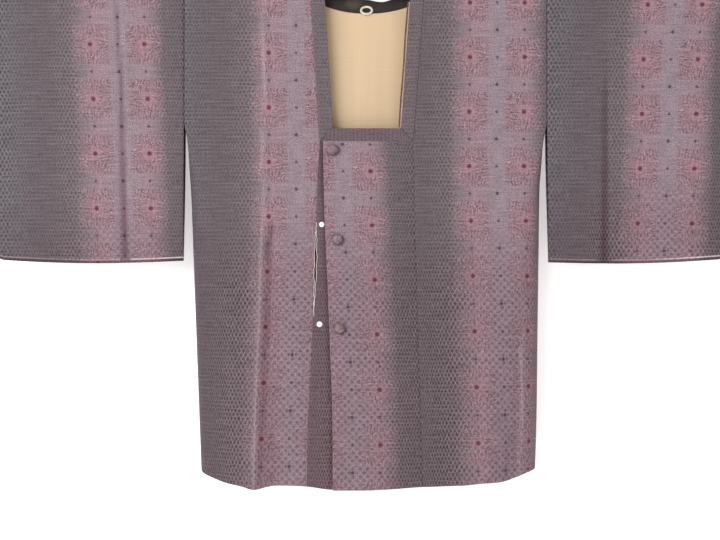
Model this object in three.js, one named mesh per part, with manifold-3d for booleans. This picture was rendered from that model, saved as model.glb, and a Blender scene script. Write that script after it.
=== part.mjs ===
// A michiyuki, the square-necked coat worn over a kimono, hanging on a straight kimono hanger.
// Millimetres, +Z up, +X to the wearer's left, the coat's front towards -Y.
// The origin is the top of the hook's inside, where it hangs on a rail.
//
// The cloth hangs over the rod, and every piece lies on one surface. A place on it is given by a
// distance across, measured from the centre line round the side, and by a distance down the cloth
// from the shoulder line, over the rod's round and then straight down: positive down the front,
// negative down the back. Each piece is a wall built on its own stretch of that surface.
import * as THREE from "three";
import Module from "manifold-3d";

const wasm = await Module();
wasm.setup();

// ---- Driving sizes -------------------------------------------------------------------------

const SEAM = 0.3; // gap between two pieces that are sewn together
const SHELL = 1.6; // outer cloth, with its seam allowances pressed flat
const LINING = 1.0;
const COLLAR = 2.6; // folded double over a stiffener

const HOOK_TO_SHOULDER = 112; // from the hook's inside down to the shoulder line
const ROD_RADIUS = 11.6;
const BEND = 13.5; // radius of the cloth's middle where it bends over the rod
const QUARTER = (BEND * Math.PI) / 2;

const ARMHOLE = 244; // length of the seam between sleeve and body
const SIDE_SEAM_TOP = 360; // the side is open between armhole and this
const BODY_EDGE = 318; // half the width across both shoulders
const HEM = 882; // the front's longest point

const NECK_SQUARE_TOP = 256.4; // inner edge of the collar's front bar
const NECK_SQUARE_FOOT = 279; // its outer edge, where the front bands start
const BAND_WIDTH = 157; // each front band (tateeri)

const SLEEVE_WIDTH = 340;
const SLEEVE_DROP = 486.5;
const SLEEVE_SAG = 5.5;
const SLEEVE_CORNER = 25;
const SLEEVE_TILT = { right: 1.2, left: 4 }; // how much lower its foot hangs beside the body
const SLEEVE_LEAN = { right: 1.8, left: 3.5 }; // how far its free inner edge stands off at the foot
const CUFF_OPENING = 230;

// Level sections of the body. right and left: half widths; depth: half depth; reach: how far in
// from the side its rounding starts; turn: how far round the side the front runs, in degrees from
// flat. Above the side seam the back runs as far, and below it the back meets the front.
const SECTIONS = [
  { h: 0, right: 318, left: 318, depth: 13.5, reach: 1, turn: 0 },
  { h: 120, right: 318, left: 318, depth: 14.5, reach: 1, turn: 0 },
  { h: 244, right: 318, left: 318, depth: 15.5, reach: 1, turn: 0 },
  { h: 300, right: 313.5, left: 313, depth: 19, reach: 12, turn: 45 },
  { h: 360, right: 306.5, left: 305.5, depth: 24, reach: 24, turn: 90 },
  { h: 490, right: 301.5, left: 303.7, depth: 36, reach: 50, turn: 96 },
  { h: 616, right: 296.7, left: 302, depth: 46, reach: 74, turn: 100 },
  { h: 750, right: 291.7, left: 300.5, depth: 55, reach: 92, turn: 102 },
  { h: 900, right: 286.2, left: 296, depth: 61, reach: 102, turn: 104 },
];

// Seams and edges down the front: x at each drop h.
const LINES = {
  rightCollarSeam: [{ h: 0, x: -97 }, { h: 279, x: -79.5 }],
  rightCollarEdge: [{ h: 0, x: -73 }, { h: 256.4, x: -56.8 }],
  leftCollarSeam: [{ h: 0, x: 104 }, { h: 279, x: 83.5 }],
  leftCollarEdge: [{ h: 0, x: 80 }, { h: 256.4, x: 62 }],
  rightBandSeam: [
    { h: 279, x: -79.5 }, { h: 382, x: -84.8 }, { h: 504, x: -87 },
    { h: 632, x: -92.2 }, { h: 761, x: -98.5 }, { h: 882, x: -101.5 },
  ],
  leftBandSeam: [{ h: 279, x: 83.5 }, { h: 632, x: 91.8 }, { h: 882, x: 99 }],
  leftBandEdge: [
    { h: 279, x: -74.3 }, { h: 382, x: -72.1 }, { h: 504, x: -67 },
    { h: 632, x: -61.5 }, { h: 761, x: -57 }, { h: 882, x: -56.3 },
  ],
};

// The hem's drop at distances across, for the front (it dips to the middle) and the back.
const FRONT_HEM = [
  { x: -345, h: 849 }, { x: -310, h: 855 }, { x: -282, h: 862 }, { x: -256, h: 869 },
  { x: -232, h: 873 }, { x: -212, h: 876 }, { x: -190, h: 880.5 }, { x: -176, h: 877.5 },
  { x: -155, h: 875 }, { x: -130, h: 874.5 }, { x: -101, h: 876 }, { x: -56, h: 881.5 },
  { x: 0, h: 882 }, { x: 40, h: 880.5 }, { x: 99, h: 876.8 }, { x: 165, h: 875 },
  { x: 205, h: 870 }, { x: 235, h: 868.5 }, { x: 262, h: 863 }, { x: 290, h: 855 },
  { x: 318, h: 851 }, { x: 350, h: 849 },
];
const BACK_HEM = [
  { x: -345, h: 849 }, { x: -180, h: 851 }, { x: -60, h: 849 }, { x: 60, h: 852 },
  { x: 190, h: 850 }, { x: 345, h: 849 },
];

// Soft vertical folds. x: place at the hem; lean: how far that moves by its top; from: the drop
// where it starts; rise: how far it stands out at the hem; spread: its half width.
const FRONT_FOLDS = [
  { x: -189, lean: 10, from: 380, rise: 10, spread: 19 },
  { x: -157, lean: 8, from: 400, rise: -5, spread: 17 },
  { x: -262, lean: 12, from: 430, rise: -5, spread: 20 },
  { x: 152, lean: -4, from: 470, rise: -4, spread: 26 },
  { x: 212, lean: -8, from: 420, rise: 6, spread: 22 },
  { x: 262, lean: -10, from: 440, rise: -4, spread: 18 },
];
const BACK_FOLDS = [
  { x: -232, lean: 14, from: 380, rise: 8, spread: 24 },
  { x: -158, lean: 6, from: 480, rise: -6, spread: 28 },
  { x: -70, lean: -6, from: 430, rise: 6, spread: 26 },
  { x: 62, lean: 10, from: 520, rise: -5, spread: 24 },
  { x: 138, lean: -8, from: 400, rise: 7, spread: 26 },
  { x: 238, lean: -12, from: 450, rise: 6, spread: 22 },
];

// The pocket mouth, left open in the seam of the right front and its band.
const POCKET = { top: 413, foot: 584, gape: 1.5, bagFoot: 642, bagWidth: 150, tuck: 12 };

const BUTTONS = [{ x: -57, h: 295.4 }, { x: -48.3, h: 451.8 }, { x: -44.6, h: 605.2 }];
const SNAPS = [{ x: -76, h: 425 }, { x: -79.5, h: 597.8 }];

const LINING_LIFT = -(SHELL / 2 + SEAM + LINING / 2); // inside the outer cloth
const LINING_HEM = 22; // how far the lining stops above the hem

// Back neckline, at a share k of its half width: how far down the cloth its seam and edge lie.
const NECK = { middle: 3.5, seamHalf: 100.5, edgeHalf: 76.5, power: 2.2 };
NECK.seam = { end: 33, dip: 24.7 };
NECK.edge = { end: 14, dip: 23.7 };

// ---- Curves from the tables ----------------------------------------------------------------

const { lerp, clamp, smoothstep } = THREE.MathUtils;
const radians = THREE.MathUtils.degToRad;

/** A smooth curve through one column of a table, with no overshoot between its rows. */
function along(table, key, by, at) {
  const n = table.length;
  const last = clamp(table.findIndex((row) => row[by] > at), -1, n - 1);
  const i = last < 0 ? n - 2 : Math.max(last - 1, 0);
  const slope = (k) => {
    const a = table[clamp(k, 0, n - 2)];
    const b = table[clamp(k, 0, n - 2) + 1];
    return (b[key] - a[key]) / (b[by] - a[by]);
  };
  const tangent = (k) => {
    const before = slope(k - 1);
    const after = slope(k);
    return before * after <= 0 ? 0 : (2 * before * after) / (before + after);
  };
  const width = table[i + 1][by] - table[i][by];
  const t = clamp((at - table[i][by]) / width, 0, 1);
  const rise = table[i + 1][key] - table[i][key];
  const a = tangent(i) * width - rise;
  const b = rise - tangent(i + 1) * width;
  return lerp(table[i][key], table[i + 1][key], t) + t * (1 - t) * (a * (1 - t) + b * t);
}

const line = (name, h) => along(LINES[name], "x", "h", h);
const section = (key, h) => along(SECTIONS, key, "h", h);

/** How far below the shoulder line a point lies that is s down the cloth. */
const dropAt = (s) => (s < QUARTER ? BEND * (1 - Math.cos(s / BEND)) : BEND + s - QUARTER);
/** How far down the cloth a point lies that is h below the shoulder line, past the rod. */
const clothAt = (h) => h - BEND + QUARTER;

function foldAt(folds, x, h) {
  let out = 0;
  for (const f of folds) {
    const grown = smoothstep(h, f.from, HEM);
    const centre = f.x + f.lean * (1 - (h - f.from) / (HEM - f.from));
    out += f.rise * grown * Math.exp(-(((x - centre) / f.spread) ** 2));
  }
  return out;
}

// ---- The surface that the body's pieces lie on ---------------------------------------------

/** Length of the rounding's arc from flat to an angle. */
function arcLength(reach, depth, angle, steps = 24) {
  let sum = 0;
  for (let i = 0; i < steps; i++) {
    const a = ((i + 0.5) / steps) * angle;
    sum += Math.hypot(reach * Math.cos(a), depth * Math.sin(a)) * (angle / steps);
  }
  return sum;
}

/** Distance across from the centre line to a panel's side edge. */
function edgeAcross(face, side, h) {
  const width = section(side < 0 ? "right" : "left", h);
  const reach = section("reach", h);
  let turn = radians(section("turn", h));
  if (face === "back" && h > SIDE_SEAM_TOP) turn = Math.PI - turn;
  return width - reach + arcLength(reach, section("depth", h), turn);
}

/** A place across a panel: u from 0 to 1 runs to where its side turns, and from 1 to 2 round it. */
function acrossPanel(face, side, h, start, u, inset = 0) {
  const edge = edgeAcross(face, side, h) - SEAM / 2 - inset;
  const flat = section(side < 0 ? "right" : "left", h) - section("reach", h);
  const turnStart = Math.min(flat, edge - 24);
  return u < 1 ? lerp(start, turnStart, u) : lerp(turnStart, edge, u - 1);
}

/** The point at a signed distance across and down the cloth, moved out by lift. */
function bodyPoint(face, across, down, lift = 0) {
  const out = face === "front" ? -1 : 1;
  const s = Math.abs(down);
  const h = dropAt(s);
  if (s < QUARTER) {
    const r = BEND + lift;
    const a = s / BEND;
    return new THREE.Vector3(across, out * r * Math.sin(a), r * Math.cos(a) - BEND);
  }
  const side = Math.sign(across) || 1;
  const width = section(side < 0 ? "right" : "left", h);
  const depth = section("depth", h);
  const reach = section("reach", h);
  const flat = width - reach;
  const past = Math.abs(across) - flat;
  let angle = 0;
  if (past > 0) {
    angle = past / Math.hypot(reach, depth);
    for (let i = 0; i < 4; i++) {
      const speed = Math.hypot(reach * Math.cos(angle), depth * Math.sin(angle));
      angle += (past - arcLength(reach, depth, angle)) / speed;
    }
  }
  const push = lift + foldAt(face === "front" ? FRONT_FOLDS : BACK_FOLDS, across, h);
  const normal = new THREE.Vector2(depth * Math.sin(angle), reach * Math.cos(angle)).normalize();
  const x = Math.min(Math.abs(across), flat) + reach * Math.sin(angle) + push * normal.x;
  return new THREE.Vector3(side * x, out * (depth * Math.cos(angle) + push * normal.y), -h);
}

// ---- Walls ---------------------------------------------------------------------------------

/** A closed wall on the surface at(u, v), half its thickness to each side, from a grid of u and v. */
function wall(at, us, vs, thickness) {
  const step = 1e-4;
  const rows = vs.length;
  const columns = us.length;
  const positions = [];
  const middle = (u, v) => at(clamp(u, us[0], us[columns - 1]), clamp(v, vs[0], vs[rows - 1]));
  for (const side of [0.5, -0.5]) {
    for (const v of vs) {
      for (const u of us) {
        const across = middle(u + step, v).sub(middle(u - step, v));
        const down = middle(u, v + step).sub(middle(u, v - step));
        const normal = across.cross(down).normalize();
        positions.push(...at(u, v).addScaledVector(normal, side * thickness));
      }
    }
  }
  const index = [];
  const corner = (layer, i, j) => layer * rows * columns + j * columns + i;
  const quad = (a, b, c, d) => index.push(a, b, c, a, c, d);
  for (let j = 0; j < rows - 1; j++) {
    for (let i = 0; i < columns - 1; i++) {
      quad(corner(0, i, j), corner(0, i + 1, j), corner(0, i + 1, j + 1), corner(0, i, j + 1));
      quad(corner(1, i, j), corner(1, i, j + 1), corner(1, i + 1, j + 1), corner(1, i + 1, j));
    }
  }
  const rim = [];
  for (let i = 0; i < columns - 1; i++) rim.push([i, 0]);
  for (let j = 0; j < rows - 1; j++) rim.push([columns - 1, j]);
  for (let i = columns - 1; i > 0; i--) rim.push([i, rows - 1]);
  for (let j = rows - 1; j > 0; j--) rim.push([0, j]);
  rim.forEach(([i, j], k) => {
    const [i2, j2] = rim[(k + 1) % rim.length];
    quad(corner(0, i, j), corner(1, i, j), corner(1, i2, j2), corner(0, i2, j2));
  });
  const geometry = new THREE.BufferGeometry();
  geometry.setAttribute("position", new THREE.Float32BufferAttribute(positions, 3));
  geometry.setIndex(index);
  return facingOut(geometry);
}

/** The same closed mesh, with its faces turned to point out if they pointed in. */
function facingOut(geometry) {
  const p = geometry.getAttribute("position");
  const ids = geometry.index.array;
  const point = (i) => new THREE.Vector3().fromBufferAttribute(p, ids[i]);
  let volume = 0;
  for (let i = 0; i < ids.length; i += 3) {
    volume += point(i).dot(point(i + 1).cross(point(i + 2)));
  }
  if (volume < 0) {
    for (let i = 0; i < ids.length; i += 3) [ids[i + 1], ids[i + 2]] = [ids[i + 2], ids[i + 1]];
  }
  geometry.computeVertexNormals();
  return geometry;
}

/** The value of a list between its entries, at v from 0 to 1. */
function between(list, v) {
  const at = v * (list.length - 1);
  const i = Math.min(Math.floor(at), list.length - 2);
  return lerp(list[i], list[i + 1], at - i);
}

const even = (n) => Array.from({ length: n + 1 }, (_, i) => i / n);

// ---- Body panels ---------------------------------------------------------------------------

const OVER_ROD = [SEAM / 2, QUARTER * 0.25, QUARTER * 0.5, QUARTER * 0.75, QUARTER];

/** Rows of every body panel below the neck, as drops, so that sewn edges share their corners. */
const LOWER_ROWS = [300, 330, 360, 386, 413, 455, 500, 545, 584, 640, 700, 760, 820, HEM];

/** Rows near the hem follow its curve, and rows above 300 are level. */
function toHem(h, across, table) {
  const share = clamp((h - 300) / (HEM - 300), 0, 1);
  return h + share * (along(table, "h", "x", across) - HEM);
}

/** The level of the side seam on the row that would reach down to h without the hem's curve. */
const sideLevel = (h) => toHem(h, 345, BACK_HEM);

/** Half the seam's gap, opened to a lens where the pocket mouth is. */
function pocketGap(h) {
  const t = clamp((h - POCKET.top) / (POCKET.foot - POCKET.top), 0, 1);
  return SEAM / 2 + POCKET.gape * Math.sin(Math.PI * t) ** 0.7;
}

const TURN_COLUMNS = [1.17, 1.34, 1.5, 1.66, 1.83, 2];
const RIGHT_COLUMNS = [0, 0.2, 0.4, 0.58, 0.72, 0.84, 0.93, 1, ...TURN_COLUMNS];
const LEFT_COLUMNS = [0, 0.16, 0.32, 0.48, 0.64, 0.78, 0.9, 1, ...TURN_COLUMNS];
const BACK_COLUMNS = [0, 0.14, 0.28, 0.42, 0.56, 0.7, 0.85, 1, ...TURN_COLUMNS];

function frontPanel(side) {
  const downs = [...OVER_ROD, ...[30, 70, 120, 180, 244, 279, ...LOWER_ROWS].map(clothAt)];
  const name = side < 0 ? "right" : "left";
  const inner = (h) =>
    h < NECK_SQUARE_FOOT ? line(name + "CollarSeam", h) : line(name + "BandSeam", h);
  const at = (u, v) => {
    const s = between(downs, v);
    const level = dropAt(s);
    const gap = side < 0 ? pocketGap(level) : SEAM / 2;
    const start = Math.abs(inner(level)) + gap;
    const across = side * acrossPanel("front", side, sideLevel(level), start, u);
    if (s <= QUARTER) return bodyPoint("front", across, s);
    return bodyPoint("front", across, clothAt(toHem(level, across, FRONT_HEM)));
  };
  const us = side < 0 ? RIGHT_COLUMNS : LEFT_COLUMNS;
  return wall(at, us, even(downs.length - 1), SHELL);
}

/** How far down the back the collar's seam (or edge) lies at x. */
function neckline(run, half, x) {
  const k = Math.min(Math.abs(x - NECK.middle) / half, 1);
  return run.end + run.dip * (1 - k ** NECK.power);
}

/** Rows of a back panel: its inner edge runs over the shoulder, round the neckline, then down. */
function backRows(side) {
  const rows = OVER_ROD.map((s) => ({ in: s, out: s, x: NECK.middle * side + NECK.seamHalf }));
  for (const k of [1, 0.93, 0.8, 0.62, 0.4, 0.2]) {
    const x = NECK.middle + side * NECK.seamHalf * k;
    rows.push({
      in: neckline(NECK.seam, NECK.seamHalf, x),
      out: lerp(QUARTER + 8, 120, 1 - k),
      x: Math.max(side * x, SEAM / 2),
    });
  }
  rows.push({ in: neckline(NECK.seam, NECK.seamHalf, 0), out: 124, x: SEAM / 2 });
  for (const h of [180, 244, 279, ...LOWER_ROWS]) {
    rows.push({ in: clothAt(h), out: clothAt(h), x: SEAM / 2 });
  }
  return rows;
}

function backPanel(side) {
  const rows = backRows(side);
  const column = (key) => rows.map((row) => row[key]);
  const at = (u, v) => {
    const s = lerp(between(column("in"), v), between(column("out"), v), Math.min(u * 1.25, 1));
    const level = dropAt(s);
    const across = side * acrossPanel("back", side, sideLevel(level), between(column("x"), v), u);
    if (s <= QUARTER) return bodyPoint("back", across, s);
    return bodyPoint("back", across, clothAt(toHem(level, across, BACK_HEM)));
  };
  return wall(at, BACK_COLUMNS, even(rows.length - 1), SHELL);
}

/** The back's lining, one width that hangs inside it from the collar's seam to above the hem. */
function backLining() {
  const drops = [90, 135, 180, 244, 279, ...LOWER_ROWS];
  const at = (u, v) => {
    const side = Math.sign(u) || 1;
    const share = v * drops.length;
    const below = between(drops, Math.max(share - 1, 0) / (drops.length - 1));
    const lift = LINING_LIFT - 1.4 * smoothstep(below, 60, 200);
    const across = side * acrossPanel("back", side, sideLevel(below), 0, Math.abs(u), -lift);
    const top = neckline(NECK.seam, NECK.seamHalf, across) + 0.5;
    if (share < 1) return bodyPoint("back", across, lerp(top, clothAt(drops[0]), share), lift);
    const raised = LINING_HEM * clamp((below - 300) / (HEM - 300), 0, 1);
    return bodyPoint("back", across, clothAt(toHem(below, across, BACK_HEM) - raised), lift);
  };
  const mirrored = BACK_COLUMNS.slice(1).map((u) => -u).reverse();
  return wall(at, [...mirrored, ...BACK_COLUMNS], even(drops.length), LINING);
}

// ---- Front bands ---------------------------------------------------------------------------

/** How far the upper band stands out from the surface: more towards its free edge and the hem. */
function upperLift(x, h) {
  const share = clamp((84 - x) / 158, 0, 1);
  return share * (3.4 + 6 * smoothstep(h, 300, HEM));
}

/** The under band lies inside the upper one, and starts level at its own seam. */
const underLift = (x) => -3.1 * clamp((x + 84) / 150, 0, 1);

function frontBand(upper) {
  const drops = [NECK_SQUARE_FOOT + SEAM, ...LOWER_ROWS];
  const at = (u, v) => {
    const level = between(drops, v);
    const seam = line(upper ? "leftBandSeam" : "rightBandSeam", level);
    const gap = upper ? -SEAM / 2 : pocketGap(level);
    const x = upper
      ? lerp(line("leftBandEdge", level), seam + gap, u)
      : lerp(seam + gap, seam + BAND_WIDTH, u);
    const lift = upper ? upperLift(x, level) : underLift(x);
    return bodyPoint("front", x, clothAt(toHem(level, x, FRONT_HEM)), lift);
  };
  return wall(at, even(6), even(drops.length - 1), SHELL);
}

// ---- Collar: one folded strip round the neck, mitred at its corners --------------------------

const COLLAR_LIFT = 0.6; // its outer face stands proud of the panels

/** A strip between two lists of places {x, s} on the surface, seam side and edge side. */
function strip(seam, edge, liftAt, thickness, steps = 3) {
  const at = (u, v) => {
    const pick = (key) => lerp(
      between(seam.map((p) => p[key]), v),
      between(edge.map((p) => p[key]), v),
      u,
    );
    const x = pick("x");
    const s = pick("s");
    return bodyPoint(s < 0 ? "back" : "front", x, s, liftAt(x, s));
  };
  return wall(at, even(steps), even(seam.length - 1), thickness);
}

/** The collar down one side of the neck, from the back's mitre over the rod to the square. */
function collarSide(side) {
  const name = side < 0 ? "right" : "left";
  const places = (from, foot, lineName, inwards) => {
    const overRod = even(10).map((t) => lerp(from, QUARTER, t));
    const down = even(5).map((t) => lerp(QUARTER, clothAt(foot), t)).slice(1);
    return [...overRod, ...down].map((s) => {
      const x = line(lineName, s > 0 ? dropAt(s) : 0);
      return { x: x + side * inwards, s };
    });
  };
  const seam = places(0.6 - NECK.seam.end, NECK_SQUARE_FOOT, name + "CollarSeam", -SEAM / 2);
  const edge = places(0.6 - NECK.edge.end, NECK_SQUARE_TOP, name + "CollarEdge", 0);
  return strip(seam, edge, () => COLLAR_LIFT, COLLAR);
}

/** The collar round the back of the neck. */
function collarBack() {
  const shares = even(12).map((t) => 2 * t - 1);
  const places = (half, run, inset) => shares.map((k) => {
    const x = NECK.middle + (half - SEAM / 2) * k;
    return { x, s: inset - neckline(run, half, x) };
  });
  const seam = places(NECK.seamHalf, NECK.seam, 0.5);
  const edge = places(NECK.edgeHalf, NECK.edge, 0);
  return strip(seam, edge, () => COLLAR_LIFT, COLLAR);
}

/** The collar's bar across the foot of the square neck, upper or under. */
function collarBar(upper) {
  const seamEnd = upper ? line("leftCollarSeam", NECK_SQUARE_FOOT) : line("rightCollarSeam", NECK_SQUARE_FOOT);
  const edgeEnd = upper ? line("leftCollarEdge", NECK_SQUARE_TOP) : line("rightCollarEdge", NECK_SQUARE_TOP);
  const free = upper ? line("leftBandEdge", NECK_SQUARE_FOOT) : seamEnd + BAND_WIDTH;
  const inwards = upper ? -0.5 : 0.5;
  const places = (end, h) => even(6).map((t) => ({ x: lerp(free, end + inwards, t), s: clothAt(h) }));
  const lift = (x) => COLLAR_LIFT + (upper ? upperLift(x, 0) : underLift(x) - 0.2);
  return strip(
    places(seamEnd, NECK_SQUARE_FOOT - SEAM / 2),
    places(edgeEnd, NECK_SQUARE_TOP),
    lift,
    COLLAR,
    2,
  );
}

/** The lining's edge that shows inside the left side of the neck. */
function collarFacing() {
  const drops = even(6).map((t) => lerp(34, NECK_SQUARE_TOP - 2, t));
  const places = (shift) => drops.map((h) => ({ x: line("leftCollarEdge", h) + shift, s: clothAt(h) }));
  const lift = COLLAR_LIFT - COLLAR / 2 - SEAM - LINING / 2;
  return strip(places(9), places(-2.8), () => lift, LINING, 2);
}

/** The pocket bag's cloth, which closes the pocket mouth from inside. */
function pocketBag() {
  const at = (u, v) => {
    const h = lerp(POCKET.top - 14, POCKET.bagFoot, v);
    const x = line("rightBandSeam", h) + lerp(POCKET.tuck, -POCKET.bagWidth, u);
    return bodyPoint("front", x, clothAt(h), LINING_LIFT - 0.9);
  };
  return wall(at, [0, 0.08, 0.25, 0.38, 0.48, 0.56, 0.64, 0.75, 0.87, 1], even(8), LINING);
}

// ---- Sleeves: one strip each, folded over the rod, sewn along the foot and below the cuff -----

const CREASES = {
  right: { x: 424, lean: 14, from: 0, dip: 3.4 },
  left: { x: 422, lean: -6, from: 90, dip: 3.4 },
};
const CREASE_SPREAD = 10;
const SEWN = (SHELL + SEAM) / 2; // half depth where the two layers are sewn together

function sleeveDrop(c, tilt) {
  const fromEdge = SLEEVE_WIDTH * (1 - c);
  const corner = Math.max(SLEEVE_CORNER - fromEdge, 0);
  const lost = SLEEVE_CORNER - Math.sqrt(Math.max(SLEEVE_CORNER ** 2 - corner ** 2, 0));
  return SLEEVE_DROP + SLEEVE_SAG * Math.sin(Math.PI * c) + tilt * (1 - 2 * c) - lost;
}

/** Half the sleeve's depth at share c of its width, h below the shoulder, over a foot at drop. */
function sleeveDepth(c, h, drop) {
  const start = section("depth", Math.min(h, ARMHOLE));
  const foot = 1 - clamp((h - 300) / (drop - 300), 0, 1) ** 2.2;
  const cuff = 1 - smoothstep(c, 0.78, 1) * smoothstep(h, BEND, CUFF_OPENING);
  return SEWN + (start - SEWN) * foot * cuff;
}

function sleeve(side) {
  const name = side < 0 ? "right" : "left";
  const crease = CREASES[name];
  const at = (c, r) => {
    const across = BODY_EDGE + SEAM / 2 + c * SLEEVE_WIDTH;
    const front = r > 0;
    const past = Math.max(Math.abs(r) - 1, 0);
    if (past === 0) {
      const a = (r * Math.PI) / 2;
      return new THREE.Vector3(side * across, -BEND * Math.sin(a), BEND * Math.cos(a) - BEND);
    }
    const drop = sleeveDrop(c, SLEEVE_TILT[name]);
    const h = lerp(BEND, drop, past);
    const x = across + SLEEVE_LEAN[name] * (1 - c) * smoothstep(h, ARMHOLE, SLEEVE_DROP);
    const centre = crease.x + crease.lean * (1 - h / SLEEVE_DROP);
    const near = Math.exp(-(((x - centre) / CREASE_SPREAD) ** 2));
    const dip = crease.dip * smoothstep(h, crease.from, crease.from + 80) * near * (front ? 1 : 0.5);
    const depth = Math.max(sleeveDepth(c, h, drop) - dip, SEWN);
    return new THREE.Vector3(side * x, front ? -depth : depth, -h);
  };
  const place = (crease.x - BODY_EDGE) / SLEEVE_WIDTH;
  const near = [-0.05, -0.022, 0, 0.022, 0.05].map((d) => place + d);
  const cs = [0, 0.12, 0.21, ...near, 0.46, 0.6, 0.74, 0.82, 0.88, 0.93, 0.97, 1];
  const falls = [1, 1.07, 1.2, 1.35, 1.5, 1.64, 1.76, 1.86, 1.94, 2];
  const round = [-0.75, -0.5, -0.25, 0, 0.25, 0.5, 0.75];
  const rs = [...falls.map((r) => -r).reverse(), ...round, ...falls];
  return wall(at, cs, rs, SHELL);
}

// ---- Fastenings and loop -------------------------------------------------------------------

/** A turned shape that stands on the front surface with its axis along the cloth's normal. */
function standing(profile, sides, x, h, lift) {
  const points = profile.map(([r, z]) => new THREE.Vector2(r, z));
  const geometry = new THREE.LatheGeometry(points, sides);
  const here = bodyPoint("front", x, clothAt(h), lift);
  const right = bodyPoint("front", x + 1, clothAt(h), lift).sub(here);
  const below = bodyPoint("front", x, clothAt(h) + 1, lift).sub(here);
  const normal = below.cross(right).normalize();
  const turn = new THREE.Quaternion().setFromUnitVectors(new THREE.Vector3(0, 1, 0), normal);
  geometry.applyQuaternion(turn);
  geometry.translate(...here.addScaledVector(normal, SHELL / 2 + SEAM));
  return geometry;
}

/** A half-ball button covered in the coat's cloth, on a short thread shank. */
const BUTTON_PROFILE = [
  [0, 0], [2.6, 0], [2.6, 1.4], [8.4, 1.4], [9.8, 2.6], [10, 4.2], [9.2, 6.2], [7.2, 8],
  [4, 9.1], [0, 9.5],
];
/** The socket half of a press stud: a flat rim, a raised ring and a hollow. */
const SNAP_PROFILE = [[0, 0], [5, 0], [5.1, 0.6], [3.4, 1], [3.1, 1.9], [1.7, 1.9], [1.4, 0.9], [0, 0.9]];

function circleShape(radius, sides) {
  const points = Array.from({ length: sides }, (_, i) => {
    const a = (2 * Math.PI * i) / sides;
    return new THREE.Vector2(radius * Math.cos(a), radius * Math.sin(a));
  });
  return new THREE.Shape(points);
}

function bentWire(points, radius, sides, steps) {
  const path = new THREE.CatmullRomCurve3(points, false, "centripetal");
  return new THREE.ExtrudeGeometry(circleShape(radius, sides), { steps, extrudePath: path });
}

/** The hanging loop of thin cord, sewn where the back collar meets the lining. */
function hangingLoop() {
  const half = 9.6;
  const foot = 51.5;
  const points = even(8).map((t) => {
    const a = Math.PI * t;
    return new THREE.Vector3(2 - half * Math.cos(a), 9.6 + 1.2 * Math.sin(a), -foot + 13 * Math.sin(a));
  });
  return bentWire(points, 1.6, 8, 20);
}

// ---- Hanger: a plain round rod with a wire hook let into it ----------------------------------

const ROD_HALF = BODY_EDGE + SLEEVE_WIDTH + 14;
const ROD_AXIS = -HOOK_TO_SHOULDER - BEND;
const WIRE = 2.2;
const CROOK = 20; // inside radius of the hook
const SOCKET = { radius: WIRE + SEAM, depth: 9 };

function solidOf(geometry) {
  const g = geometry.toNonIndexed();
  const p = g.getAttribute("position");
  const seen = new Map();
  const corners = [];
  const triVerts = new Uint32Array(p.count);
  for (let i = 0; i < p.count; i++) {
    const at = [p.getX(i), p.getY(i), p.getZ(i)].map((c) => Math.round(c * 1e4) / 1e4);
    const key = at.join();
    if (!seen.has(key)) {
      seen.set(key, seen.size);
      corners.push(...at);
    }
    triVerts[i] = seen.get(key);
  }
  return new wasm.Manifold(
    new wasm.Mesh({ numProp: 3, vertProperties: new Float32Array(corners), triVerts }),
  );
}

function geometryOf(solid) {
  const m = solid.getMesh();
  const geometry = new THREE.BufferGeometry();
  geometry.setAttribute("position", new THREE.Float32BufferAttribute(m.vertProperties, 3));
  geometry.setIndex(Array.from(m.triVerts));
  geometry.computeVertexNormals();
  return geometry;
}

function hangerRod() {
  const length = 2 * ROD_HALF;
  const bevel = 3;
  const profile = [
    [0, -ROD_HALF], [ROD_RADIUS - bevel, -ROD_HALF], [ROD_RADIUS, -ROD_HALF + bevel],
    [ROD_RADIUS, -ROD_HALF + length - bevel], [ROD_RADIUS - bevel, ROD_HALF], [0, ROD_HALF],
  ].map(([r, z]) => new THREE.Vector2(r, z));
  const rod = new THREE.LatheGeometry(profile, 24).rotateZ(Math.PI / 2);
  rod.translate(0, 0, ROD_AXIS);
  const bore = new THREE.CylinderGeometry(SOCKET.radius, SOCKET.radius, 2 * SOCKET.depth, 16);
  bore.rotateX(Math.PI / 2).translate(0, 0, ROD_AXIS + ROD_RADIUS);
  return geometryOf(solidOf(rod).subtract(solidOf(bore)));
}

function hangerHook() {
  const middle = CROOK + WIRE;
  const seat = ROD_AXIS + ROD_RADIUS - SOCKET.depth + SEAM;
  const points = [new THREE.Vector3(0, 0, seat), new THREE.Vector3(0, 0, seat + 22), new THREE.Vector3(0, 0, -62)];
  for (let degrees = -62; degrees <= 208; degrees += 18) {
    const a = radians(degrees);
    points.push(new THREE.Vector3(middle * Math.cos(a), 0, -CROOK + middle * Math.sin(a)));
  }
  return bentWire(points, WIRE, 8, 34);
}

// ---- The object ----------------------------------------------------------------------------

const finish = (color, roughness, metalness = 0) =>
  new THREE.MeshStandardMaterial({ color, roughness, metalness, side: THREE.DoubleSide });

const CLOTH = finish("#8b7880", 0.72);
const DARK_CLOTH = finish("#423a3a", 0.8);
const LINING_CLOTH = finish("#dcc09a", 0.6);
const BUTTON_CLOTH = finish("#7c6870", 0.72);
const SNAP_METAL = finish("#f4efec", 0.35);
const LOOP_CORD = finish("#e9e2cf", 0.7);
const ROD_WOOD = finish("#b98d5c", 0.55);
const HOOK_STEEL = finish("#b9bcc0", 0.3, 1);

const coat = new THREE.Group();
coat.position.z = -HOOK_TO_SHOULDER;
const michiyuki = new THREE.Group();
michiyuki.add(coat);

function add(group, name, geometry, material) {
  const mesh = new THREE.Mesh(geometry, material);
  mesh.name = name;
  group.add(mesh);
}

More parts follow.
